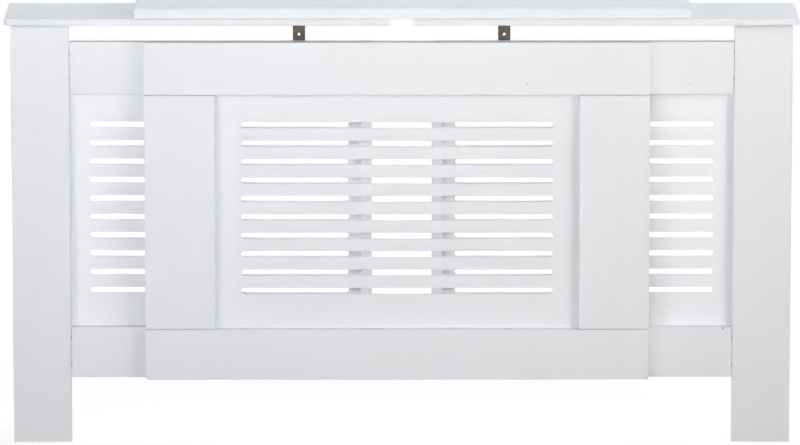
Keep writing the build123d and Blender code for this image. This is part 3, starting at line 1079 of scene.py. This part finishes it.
@dataclass
class CamLock:
    """A cast cam disc with a rim, a pocket for its bolt and a cross for the driver."""

    diameter: float = 15.0 * MM
    depth: float = 12.0 * MM
    rim: float = 0.9 * MM
    rim_slope: float = 0.2 * MM
    rim_height: float = 0.5 * MM
    blade: float = 1.3 * MM
    recess: float = 2.0 * MM
    pocket_start: float = 1.9 * MM
    pocket_depth: float = 7.5 * MM
    pocket_radius: float = 3.6 * MM

    def pattern(self) -> Piece:
        """Models one disc below the origin, its face up."""
        radius = self.diameter / 2
        disc = new_rod("cam", (0, 0, -self.depth), Way.UP, radius, self.depth, 40)
        with editing(disc):
            choose(disc, Pick.FACES, lambda p: all(v.z > -TINY for v in p))
            bpy.ops.mesh.inset(thickness=self.rim, depth=0.0)
            bpy.ops.mesh.inset(thickness=self.rim_slope, depth=-self.rim_height)
        cut_cross(disc, self.diameter, self.blade, -self.recess, MM)
        pocket = (0, -self.pocket_start, -self.pocket_depth)
        cut(disc, [new_rod("pocket", pocket, Way.TO_WALL, self.pocket_radius, self.diameter, 20)])
        return disc


@dataclass
class CamBolt:
    """The bolt that a cam disc grips, screwed up into the shelf."""

    thread: float = 5.0 * MM
    thread_length: float = 9.0 * MM
    body: float = 7.0 * MM
    body_length: float = 16.5 * MM
    neck: float = 4.0 * MM
    head: float = 6.6 * MM
    head_height: float = 4.0 * MM
    drop: float = 24.0 * MM

    def pattern(self) -> Piece:
        """Models one bolt with the face of the shelf at the origin, its thread above."""
        head_low = -self.drop - self.head_height / 2
        head_high = -self.drop + self.head_height / 2
        ridges = 8
        pitch = self.thread_length / ridges
        profile = [
            (self.head, head_low), (self.head, head_high), (self.neck, head_high),
            (self.neck, -self.body_length), (self.body, -self.body_length), (self.body, 0.0),
        ]
        for i in range(ridges):
            profile += [(self.thread * 0.82, pitch * (i + 0.1)), (self.thread, pitch * (i + 0.5))]
        profile.append((self.thread * 0.6, self.thread_length))
        clear_selection()
        bpy.ops.mesh.primitive_circle_add(
            vertices=20, radius=self.head / 2, fill_type="NGON", location=(0, 0, head_low)
        )
        bolt = bpy.context.active_object
        apply_place(bolt)
        with editing(bolt):
            bpy.ops.mesh.select_all(action="SELECT")
            wide, high = profile[0]
            for next_wide, next_high in profile[1:]:
                pull_faces((0, 0, next_high - high))
                grow((next_wide / wide, next_wide / wide, 1), (0, 0, next_high))
                wide, high = next_wide, next_high
        return bolt


# Painted boards


@dataclass
class BoardShop:
    """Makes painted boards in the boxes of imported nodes."""

    arris: float = 0.8 * MM
    seam: float = 0.5 * MM
    joint: float = 1.2 * MM

    def board(
        self,
        node: str,
        name: str,
        radius: float,
        tools: Sequence[Piece] = (),
        short: Point = (0.0, 0.0, 0.0),
    ) -> Piece:
        """Models a board as large as a node, cut and then softened all round.

        Args:
            node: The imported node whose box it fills.
            name: The new piece's name.
            radius: How far its edges are rounded.
            tools: Shapes to cut out of it first.
            short: How far it stays short of the box at both ends, along each axis.

        Returns:
            The board, closed up.
        """
        low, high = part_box(node)
        piece = new_block(name, low + Vector(short), high - Vector(short))
        for tool in tools:
            cut(piece, [tool])
        soften_all(piece, radius)
        close_up(piece)
        return piece


@dataclass
class SlottedBoard:
    """A thin board with rows of round-ended slots, routed and eased."""

    node: str
    slot_left: float
    slot_right: float
    rows_middle: float
    slot_height: float
    rows: int = 10
    pitch: float = 34.8 * MM
    lip: float = 0.6 * MM
    arc_segments: int = 8

    def model(self, name: str) -> Piece:
        """Models the board.

        Args:
            name: The piece's name.

        Returns:
            The slotted board, closed up.
        """
        low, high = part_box(self.node)
        depth = (low.y + high.y) / 2
        first = self.rows_middle - (self.rows - 1) / 2 * self.pitch
        board = self.first_cell(name, low.x, high.x, depth, first)
        rows = board.modifiers.new("rows", "ARRAY")
        rows.count = self.rows
        rows.use_relative_offset = False
        rows.use_constant_offset = True
        rows.constant_offset_displace = (0, 0, self.pitch)
        rows.use_merge_vertices = True
        rows.merge_threshold = NEAR
        apply_modifiers(board)
        bottom = first - self.pitch / 2
        top = bottom + self.rows * self.pitch
        with editing(board):
            choose(board, Pick.EDGES, lambda p: all(abs(v.z - top) < NEAR for v in p))
            pull_edges((0, 0, high.z - top))
            choose(board, Pick.EDGES, lambda p: all(abs(v.z - bottom) < NEAR for v in p))
            pull_edges((0, 0, low.z - bottom))
        thicken(board, high.y - low.y)
        soften_all(board, self.lip, 2, 60)
        close_up(board)
        return board

    def first_cell(
        self, name: str, left: float, right: float, depth: float, height: float
    ) -> Piece:
        """Models one slot with the strip of board round it, as a flat sheet.

        Args:
            name: The piece's name.
            left: The board's left edge.
            right: The board's right edge.
            depth: The middle of the board's thickness.
            height: The middle of the slot.

        Returns:
            The flat cell.
        """
        middle = (self.slot_left + self.slot_right) / 2
        half_length = (self.slot_right - self.slot_left) / 2
        radius = self.slot_height / 2
        half_cell = self.pitch / 2
        centre = (middle, depth, height)
        cell = new_sheet(name, centre, (2 * half_length, self.slot_height), UPRIGHT)
        with editing(cell):
            bpy.ops.mesh.select_all(action="SELECT")
            bpy.ops.mesh.bevel(
                offset=radius, segments=self.arc_segments, profile=0.5, affect="VERTICES", clamp_overlap=False
            )
            bpy.ops.mesh.select_all(action="SELECT")
            bpy.ops.mesh.remove_doubles(threshold=NEAR)
            choose(cell, Pick.FACES, lambda p: True)
            bpy.ops.mesh.delete(type="ONLY_FACE")
            choose(cell, Pick.EDGES, lambda p: True)
            pull_edges((0, 0, 0))
            rise = half_cell / (radius * math.sin(math.pi / 4))
            grow((1 + 2 * radius / half_length, 1, rise), centre)
            for edge, way in ((right, 1), (left, -1)):
                choose(
                    cell,
                    Pick.VERTICES,
                    lambda p, way=way: (p[0].x - middle) * way > half_length + TINY
                    and abs(p[0].z - height) < half_cell + 20 * TINY,
                )
                grow((0, 1, 1), (edge, depth, height))
            for way in (1, -1):
                edge_rise = half_cell - 20 * TINY
                choose(cell, Pick.VERTICES, lambda p, way=way: (p[0].z - height) * way > edge_rise)
                grow((1, 1, 0), (middle, depth, height + way * half_cell))
        return cell


@dataclass
class CentrePanel:
    """The centre panel: two rails, two stiles, a slotted grille and two guide channels."""

    fitter: Fitter
    boards: BoardShop
    body: str = "centre_unit"
    rebate: float = 10.0 * MM
    groove_clearance: float = 0.1 * MM
    slot_margin: float = 48.3 * MM
    slot_rise: float = 5.1 * MM
    slot_height: float = 11.0 * MM
    channel_wall: float = 1.5 * MM
    channel_mouth: float = 8.0 * MM
    channel_edge: float = 0.25 * MM

    def opening(self) -> tuple[float, float, float, float]:
        """Left, right, lower and upper edge of the opening in the frame."""
        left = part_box("centre_left_stile")[1].x
        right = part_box("centre_right_stile")[0].x
        return left, right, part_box("centre_bottom_rail")[1].z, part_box("centre_top_rail")[0].z

    def build(self) -> None:
        """Models and fits every piece of the panel."""
        self.build_frame()
        self.build_grille()
        self.build_channels()
        self.build_fasteners()

    def build_frame(self) -> None:
        """Models the rails, grooved for their channels, and the stiles."""
        left, right, bottom, top = self.opening()
        front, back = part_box("centre_grille")
        step = (
            (left - self.rebate, front.y, bottom - self.rebate),
            (right + self.rebate, back.y + MM, top + self.rebate),
        )
        for rail, channel, coat in (
            ("centre_top_rail", "upper_channel", Coat.MARKED_BOARD),
            ("centre_bottom_rail", "lower_channel", Coat.BOARD),
        ):
            low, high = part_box(channel)
            room = self.groove_clearance
            groove = new_block(
                "groove", (low.x - room, low.y, low.z - room), (high.x + room, high.y + MM, high.z + room)
            )
            tools = [groove, new_block("step", *step)]
            piece = self.boards.board(rail, rail + "_painted", self.boards.arris, tools)
            self.fitter.fit(piece, coat, self.body, rail)
        for stile in ("centre_left_stile", "centre_right_stile"):
            tools = [new_block("step", *step)]
            short = (0.0, 0.0, self.boards.joint)
            piece = self.boards.board(stile, stile + "_painted", self.boards.seam, tools, short)
            self.fitter.fit(piece, Coat.BOARD, self.body, stile)

    def build_grille(self) -> None:
        """Models the slotted grille."""
        left, right, bottom, top = self.opening()
        ends = left + self.slot_margin, right - self.slot_margin
        grille = SlottedBoard("centre_grille", *ends, (bottom + top) / 2 + self.slot_rise, self.slot_height)
        self.fitter.fit(grille.model("centre_grille_routed"), Coat.GRILLE, self.body, "centre_grille")

    def build_channels(self) -> None:
        """Models the drawn channels: a web, two flanges and two lips."""
        for node in ("upper_channel", "lower_channel"):
            low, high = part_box(node)
            half = self.channel_wall / 2
            middle = ((low.x + high.x) / 2, low.y + half, (low.z + high.z) / 2)
            size = high.x - low.x, high.z - low.z - self.channel_wall
            channel = new_sheet(node + "_drawn", middle, size, UPRIGHT)
            depth = high.y - low.y - self.channel_wall
            lip = (high.z - low.z - self.channel_mouth) / 2 - half
            with editing(channel):
                for way in (1, -1):
                    choose(
                        channel, Pick.EDGES, lambda p, way=way: all((v.z - middle[2]) * way > half for v in p)
                    )
                    pull_edges((0, depth, 0))
                    pull_edges((0, 0, -way * lip))
            thicken(channel, self.channel_wall)
            soften_all(channel, self.channel_edge, 2)
            close_up(channel)
            self.fitter.fit(channel, Coat.ALUMINIUM, self.body, node)

    def build_fasteners(self) -> None:
        """Models the countersunk screws round the grille, and dresses the hidden dowels."""
        node = "centre_grille_screws"
        boxes = solids_of(node)
        size = boxes[0][1] - boxes[0][0]
        places = [Way.TO_WALL.seat(Vector(((a.x + b.x) / 2, b.y, (a.z + b.z) / 2))) for a, b in boxes]
        screws = place_copies(FlushScrew(3.0 * MM, size.x, size.y).pattern(), places, node + "_driven")
        close_up(screws)
        self.fitter.fit(screws, Coat.ZINC, self.body, node)
        self.fitter.keep("centre_dowels", Coat.BEECH)


@dataclass
class SideUnit:
    """One sliding side: a post and end panel, a slotted frame flush with the post, and half the shelf."""

    side: Side
    fitter: Fitter
    boards: BoardShop
    skirting_depth: float = 20.0 * MM
    skirting_height: float = 120.0 * MM
    shelf_corner: float = 9.0 * MM
    shelf_edge: float = 1.6 * MM
    slot_inner_margin: float = 43.0 * MM
    slot_outer_margin: float = 36.0 * MM
    slot_rise: float = 3.85 * MM
    slot_height: float = 10.0 * MM
    bracket_steel: float = 2.0 * MM
    bracket_bend: float = 3.0 * MM
    bracket_hole: float = 5.5 * MM
    bracket_edge: float = 0.3 * MM
    clamp_bore: float = 6.8 * MM
    cam_room: float = 0.1 * MM
    bracket_reaches: tuple[float, float] = (24.0 * MM, 48.0 * MM)

    @property
    def body(self) -> str:
        """The body that the unit rides as."""
        return self.side.label + "_unit"

    def node(self, name: str) -> str:
        """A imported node's full name."""
        return f"{self.side.label}_{name}"

    def span(self, name: str) -> tuple[float, float]:
        """Inner and outer edge of a node, counted from the middle of the cabinet."""
        low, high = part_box(self.node(name))
        ends = sorted((low.x * self.side.value, high.x * self.side.value))
        return ends[0], ends[1]

    def build(self) -> None:
        """Models and fits every piece of the unit."""
        self.build_post()
        self.build_end_panel()
        self.build_frame()
        self.build_grille()
        self.build_shelf()
        self.build_bracket()
        self.build_wood_screws()
        self.build_clamps()
        self.build_cams()
        for name in ("post_dowels", "shelf_dowels", "frame_dowels"):
            self.fitter.keep(self.node(name), Coat.BEECH)

    def build_post(self) -> None:
        """Models the front post."""
        piece = self.boards.board(self.node("post"), self.node("post_painted"), self.boards.seam)
        self.fitter.fit(piece, Coat.BOARD, self.body, self.node("post"))

    def build_end_panel(self) -> None:
        """Models the end panel from a flat sheet: notched at the foot, thickened and bored for its cams."""
        low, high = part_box(self.node("end_panel"))
        notch_y, notch_z = high.y - self.skirting_depth, low.z + self.skirting_height
        size = high.z - low.z, high.y - low.y
        panel = new_sheet(self.node("end_panel_painted"), (low + high) / 2, size, (0, math.pi / 2, 0))
        with editing(panel):
            for point, normal in (((0, notch_y, 0), (0, 1, 0)), ((0, 0, notch_z), (0, 0, 1))):
                bpy.ops.mesh.select_all(action="SELECT")
                bpy.ops.mesh.bisect(plane_co=point, plane_no=normal)
            choose(panel, Pick.FACES, lambda p: all(v.y > notch_y - NEAR and v.z < notch_z + NEAR for v in p))
            bpy.ops.mesh.delete(type="FACE")
            choose(panel, Pick.FACES, lambda p: True)
            bpy.ops.mesh.dissolve_limited(angle_limit=math.radians(1))
        thicken(panel, high.x - low.x)
        inner_x = low.x if self.side is Side.RIGHT else high.x
        way = Way.RIGHT if self.side is Side.RIGHT else Way.LEFT
        holes = []
        for a, b in solids_of(self.node("cam_locks")):
            start = (inner_x - MM * self.side.value, (a.y + b.y) / 2, (a.z + b.z) / 2)
            radius = (b.y - a.y) / 2 + self.cam_room
            holes.append(new_rod("cam_hole", start, way, radius, b.x - a.x + MM, 40))
        cut(panel, holes)
        soften_all(panel, self.boards.seam)
        close_up(panel)
        self.fitter.fit(panel, Coat.BOARD, self.body, self.node("end_panel"))

    def build_frame(self) -> None:
        """Models the rails, bored for their clamp screws, and the stile at their inner ends."""
        bores = solids_of(self.node("clamp_screws"))
        for name in ("top_rail", "bottom_rail"):
            low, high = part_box(self.node(name))
            tools = [
                new_rod(
                    "bore", ((a.x + b.x) / 2, low.y - MM, (a.z + b.z) / 2), Way.TO_WALL,
                    self.clamp_bore / 2, high.y - low.y + 2 * MM,
                )
                for a, b in bores
                if low.z < a.z and b.z < high.z
            ]
            painted, short = self.node(name + "_painted"), (self.boards.joint, 0.0, 0.0)
            piece = self.boards.board(self.node(name), painted, self.boards.arris, tools, short)
            self.fitter.fit(piece, Coat.MARKED_BOARD, self.body, self.node(name))
        stile = self.node("inner_stile")
        piece = self.boards.board(stile, stile + "_painted", self.boards.seam)
        # The inner stile gets the darker paint: painted shade for its place behind the centre grille's slots.
        self.fitter.fit(piece, Coat.UNDERCOAT, self.body, stile)

    def build_grille(self) -> None:
        """Models the slotted grille on the back of the frame."""
        inner = self.span("top_rail")[0] + self.slot_inner_margin
        outer = self.span("post")[0] - self.slot_outer_margin
        ends = sorted((inner * self.side.value, outer * self.side.value))
        bottom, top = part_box(self.node("bottom_rail"))[1].z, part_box(self.node("top_rail"))[0].z
        rows_middle = (bottom + top) / 2 + self.slot_rise
        grille = SlottedBoard(self.node("grille"), *ends, rows_middle, self.slot_height)
        piece = grille.model(self.node("grille_routed"))
        # The side grille gets the lighter paint: painted light for its parts seen through the centre grille's
        # slots.
        self.fitter.fit(piece, Coat.SIDE_GRILLE, self.body, self.node("grille"))

    def build_shelf(self) -> None:
        """Models half of the shelf: one front corner rounded, the top edges eased more than the lower."""
        low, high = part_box(self.node("shelf"))
        shelf = new_block(self.node("shelf_painted"), low, high)
        outer = max(abs(low.x), abs(high.x))
        with editing(shelf):
            choose(
                shelf,
                Pick.EDGES,
                lambda p: all(abs(abs(v.x) - outer) < NEAR and v.y < low.y + NEAR for v in p),
            )
            round_edges(self.shelf_corner, 10)
            ease_faces(shelf, low.z, high.z, self.shelf_edge, self.boards.arris)
            choose_creases(shelf, lambda a, b: abs(a.z - b.z) > UPRIGHT_EDGE)
            round_edges(self.boards.arris, 3)
        close_up(shelf)
        self.fitter.fit(shelf, Coat.BOARD, self.body, self.node("shelf"))

    def build_bracket(self) -> None:
        """Models the steel angle: a folded strip with a round bend, pierced and deburred."""
        low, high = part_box(self.node("bracket"))
        half = self.bracket_steel / 2
        middle_x = (low.x + high.x) / 2
        place = (middle_x, (low.y + half + high.y) / 2, high.z - half)
        bracket = new_sheet(self.node("bracket_bent"), place, (high.x - low.x, high.y - low.y - half))
        with editing(bracket):
            choose(bracket, Pick.EDGES, lambda p: all(v.y < low.y + half + NEAR for v in p))
            pull_edges((0, 0, low.z - high.z + half))
            choose(
                bracket,
                Pick.EDGES,
                lambda p: all(v.y < low.y + half + NEAR and v.z > high.z - half - NEAR for v in p),
            )
            round_edges(self.bracket_bend - half, 8)
        thicken(bracket, self.bracket_steel)
        reach = self.bracket_steel + 2 * MM
        holes = []
        for away in self.bracket_reaches:
            for start, way in (
                ((middle_x, low.y - MM, high.z - away), Way.TO_WALL),
                ((middle_x, low.y + away, high.z + MM), Way.DOWN),
            ):
                holes.append(new_rod("hole", start, way, self.bracket_hole / 2, reach))
        cut(bracket, holes)
        soften_all(bracket, self.bracket_edge, 2)
        close_up(bracket)
        # The bracket's dark colour is partly its bronzed finish and partly painted shade.
        self.fitter.fit(bracket, Coat.BRONZED, self.body, self.node("bracket"))

    def build_wood_screws(self) -> None:
        """Models the bracket's screws and those of the grille."""
        for name, coat, diameter in (
            ("bracket_screws", Coat.BRONZED, 4.0 * MM),
            ("grille_screws", Coat.ZINC, 3.0 * MM),
        ):
            groups: dict[tuple[float, float, Way], list[Matrix]] = {}
            for a, b in solids_of(self.node(name)):
                size, middle = b - a, (a + b) / 2
                head = round(size.x, 5)
                screw = PanScrew(diameter, head, 0.0)
                if size.y > size.z:
                    way, total = Way.TO_WALL, size.y
                    seat = Vector((middle.x, b.y - screw.head_height, middle.z))
                else:
                    way, total = Way.DOWN, size.z
                    seat = Vector((middle.x, middle.y, a.z + screw.head_height))
                length = round(total - screw.head_height, 5)
                groups.setdefault((head, length, way), []).append(way.seat(seat))
            parts = [
                place_copies(PanScrew(diameter, head, length).pattern(), places, "part")
                for (head, length, _), places in groups.items()
            ]
            screws = join(parts, self.node(name + "_driven"))
            close_up(screws)
            self.fitter.fit(screws, coat, self.body, self.node(name))

    def build_clamps(self) -> None:
        """Models the clamp screws with their washers, and the nuts in the channels."""
        rail_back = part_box(self.node("top_rail"))[1].y
        washer = Washer()
        spots = [((a + b) / 2).xz for a, b in solids_of(self.node("clamp_screws"))]
        nut_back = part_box(self.node("channel_nuts"))[1].y
        nut_box = solids_of(self.node("channel_nuts"))[0]
        nut = ChannelNut(height=nut_box[1].z - nut_box[0].z)
        for name, pattern, depth, coat in (
            ("clamp_washers", washer.pattern(), rail_back, Coat.ZINC),
            ("clamp_screws", HexScrew().pattern(), rail_back + washer.thickness, Coat.ZINC),
            ("channel_nuts", nut.pattern(), nut_back, Coat.ZINC),
        ):
            places = [Way.TO_WALL.seat(Vector((spot[0], depth, spot[1]))) for spot in spots]
            fitted = place_copies(pattern, places, self.node(name + "_fitted"))
            close_up(fitted, 30)
            self.fitter.fit(fitted, coat, self.body, self.node(name))

    def build_cams(self) -> None:
        """Models the cam discs in the end panel and the bolts they grip."""
        inward = Way.LEFT if self.side is Side.RIGHT else Way.RIGHT
        locks, bolts = [], []
        shelf_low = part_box(self.node("shelf"))[0].z
        for a, b in solids_of(self.node("cam_locks")):
            face_x = a.x if self.side is Side.RIGHT else b.x
            locks.append(inward.seat(Vector((face_x, (a.y + b.y) / 2, (a.z + b.z) / 2))))
        for a, b in solids_of(self.node("cam_bolts")):
            bolts.append(Matrix.Translation(((a.x + b.x) / 2, (a.y + b.y) / 2, shelf_low)))
        for name, pattern, places, coat in (
            ("cam_locks", CamLock().pattern(), locks, Coat.CAST),
            ("cam_bolts", CamBolt().pattern(), bolts, Coat.ZINC),
        ):
            fitted = place_copies(pattern, places, self.node(name + "_fitted"))
            close_up(fitted, 30)
            self.fitter.fit(fitted, coat, self.body, self.node(name))


@dataclass
class TopCover:
    """The loose board over the gap in the shelf."""

    fitter: Fitter
    corner: float = 3.0 * MM
    top_edge: float = 1.6 * MM
    low_edge: float = 0.8 * MM

    def build(self) -> None:
        """Models the cover: corners rounded, then the top edges, then the lower ones."""
        low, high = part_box("top_cover")
        cover = new_block("top_cover_painted", low, high)
        with editing(cover):
            choose(cover, Pick.EDGES, lambda p: abs(p[0].z - p[1].z) > UPRIGHT_EDGE)
            round_edges(self.corner, 5)
            ease_faces(cover, low.z, high.z, self.top_edge, self.low_edge)
        close_up(cover)
        self.fitter.fit(cover, Coat.BOARD, "top_cover", "top_cover")


# Studio


@dataclass(frozen=True)
class Lamp:
    """A rectangular softbox that points at the cabinet."""

    name: str
    place: Point
    aim: Point
    width: float
    height: float
    power: float
    colour: tuple[float, float, float] = (1.0, 1.0, 1.0)
    spread: float = 180.0

    def hang(self) -> None:
        """Adds the lamp."""
        light = bpy.data.lights.new(self.name, "AREA")
        light.shape = "RECTANGLE"
        light.size, light.size_y = self.width, self.height
        light.energy, light.color = self.power, self.colour
        light.spread = math.radians(self.spread)
        lamp = bpy.data.objects.new(self.name, light)
        lamp.visible_camera = False
        lamp.location = self.place
        lamp.rotation_euler = (Vector(self.aim) - Vector(self.place)).to_track_quat("-Z", "Y").to_euler()
        bpy.context.scene.collection.objects.link(lamp)


@dataclass
class Studio:
    """Floor, white surround, softboxes and the camera."""

    lamps: tuple[Lamp, ...] = (
        Lamp("right_softbox", (3.9, -4.6, 2.0), (0.0, 0.0, 0.5), 1.4, 1.2, 92.5, (1.0, 0.905, 0.845)),
        Lamp("left_softbox", (-3.9, -4.6, 2.0), (0.0, 0.0, 0.5), 1.4, 1.2, 100.0, (1.0, 0.94, 0.97)),
        Lamp("right_far_softbox", (6.0, -3.8, 2.2), (0.0, 0.0, 0.5), 2.4, 2.4, 48.0, (0.885, 0.985, 0.975)),
        Lamp("right_near_softbox", (1.7, -1.3, 1.8), (0.3, 0.0, 0.5), 0.9, 0.8, 9.6, (0.86, 0.9, 1.0)),
        Lamp("left_grid", (-1.6, -5.8, 1.6), (-0.5, 0.0, 0.95), 1.2, 0.5, 4.7, (0.75, 0.835, 1.0), 40.0),
        Lamp("front_grid", (0.03, -8.6, 2.15), (0.0, 0.0, 1.05), 1.6, 0.6, 3.3, (1.0, 0.975, 0.76), 24.0),
        Lamp("back_softbox", (0.0, 2.6, 1.1), (0.0, 0.0, 0.45), 3.0, 1.6, 16.0, (0.911, 0.94, 1.0)),
        Lamp("left_back_softbox", (-3.6, 1.6, 1.8), (0.0, 0.0, 0.5), 1.4, 1.2, 34.0, (0.955, 0.975, 1.0)),
        Lamp("right_back_softbox", (3.6, 1.6, 1.8), (0.0, 0.0, 0.5), 1.4, 1.2, 36.0, (0.955, 0.975, 1.0)),
        Lamp("top_softbox", (0.0, 1.0, 2.7), (0.0, 0.0, 0.7), 3.0, 1.0, 26.0, (0.935, 0.963, 1.0)),
    )
    ambient: float = 0.0
    floor_colour: Colour = (0.38, 0.38, 0.38, 1.0)
    near_glow: float = 0.74
    far_glow: float = 0.96
    glow_reach: tuple[float, float] = (1.0, 3.5)
    camera_place: Point = (-0.0232, -13.0, 2.9016)
    camera_pitch: float = -10.871
    camera_yaw: float = -0.0892
    lens: float = 318.95

    def build(self) -> None:
        """Sets up the whole studio."""
        for lamp in self.lamps:
            lamp.hang()
        self.lay_floor()
        self.light_world()
        self.place_camera()
        bpy.context.scene.view_settings.view_transform = "Standard"

    def seen_directly(self, w: Wiring) -> Plug:
        """1 for rays that show the background: the camera's, mirrored and transmitted ones."""
        path = w.node("ShaderNodeLightPath")
        mirrored = w.math("MAXIMUM", path.outputs["Is Glossy Ray"], path.outputs["Is Transmission Ray"])
        return w.math("MAXIMUM", path.outputs["Is Camera Ray"], mirrored)

    def lay_floor(self) -> None:
        """Lays the floor: plain board that takes shadows, with a glow wherever it shows as background."""
        clear_selection()
        bpy.ops.mesh.primitive_plane_add(size=60.0, location=(0, 0, 0))
        floor = bpy.context.active_object
        floor.name = "studio_floor"
        with editing(floor):
            bpy.ops.mesh.select_all(action="SELECT")
            bpy.ops.mesh.subdivide(number_cuts=2)
        material = bpy.data.materials.new("studio_floor")
        material.use_nodes = True
        w = Wiring(material.node_tree)
        shader = material.node_tree.nodes["Principled BSDF"]
        shader.inputs["Base Color"].default_value = self.floor_colour
        shader.inputs["Roughness"].default_value = 1.0
        shader.inputs["Specular IOR Level"].default_value = 0.0
        shader.inputs["Emission Color"].default_value = (1.0, 1.0, 1.0, 1.0)
        away = w.vector("LENGTH", w.node("ShaderNodeTexCoord").outputs["Object"])
        glow = w.spread(away, self.near_glow, self.far_glow, *self.glow_reach)
        w.feed(shader.inputs["Emission Strength"], w.math("MULTIPLY", self.seen_directly(w), glow))
        floor.data.materials.append(material)

    def light_world(self) -> None:
        """Makes the surround white where it is seen. As light it has the ambient strength."""
        world = bpy.data.worlds.new("studio")
        bpy.context.scene.world = world
        world.use_nodes = True
        w = Wiring(world.node_tree)
        back = world.node_tree.nodes["Background"]
        back.inputs["Color"].default_value = (1.0, 1.0, 1.0, 1.0)
        w.feed(back.inputs["Strength"], w.spread(self.seen_directly(w), self.ambient, 1.0))

    def place_camera(self) -> None:
        """Points the camera down at the cabinet, from so far away that its posts lean little."""
        data = bpy.data.cameras.new("photo_camera")
        data.lens, data.sensor_width = self.lens, 36.0
        data.clip_start, data.clip_end = 0.1, 200.0
        camera = bpy.data.objects.new("photo_camera", data)
        camera.location = self.camera_place
        camera.rotation_euler = (math.radians(90 + self.camera_pitch), 0.0, math.radians(self.camera_yaw))
        bpy.context.scene.collection.objects.link(camera)
        bpy.context.scene.camera = camera


def main() -> None:
    """Builds the cabinet and the studio."""
    logging.basicConfig(level=logging.INFO, format="%(name)s: %(message)s")
    fitter = Fitter(FinishShop())
    boards = BoardShop()
    CentrePanel(fitter, boards).build()
    for side in Side:
        SideUnit(side, fitter, boards).build()
    TopCover(fitter).build()
    Studio().build()
    clear_selection()


if __name__ == "__main__":
    main()
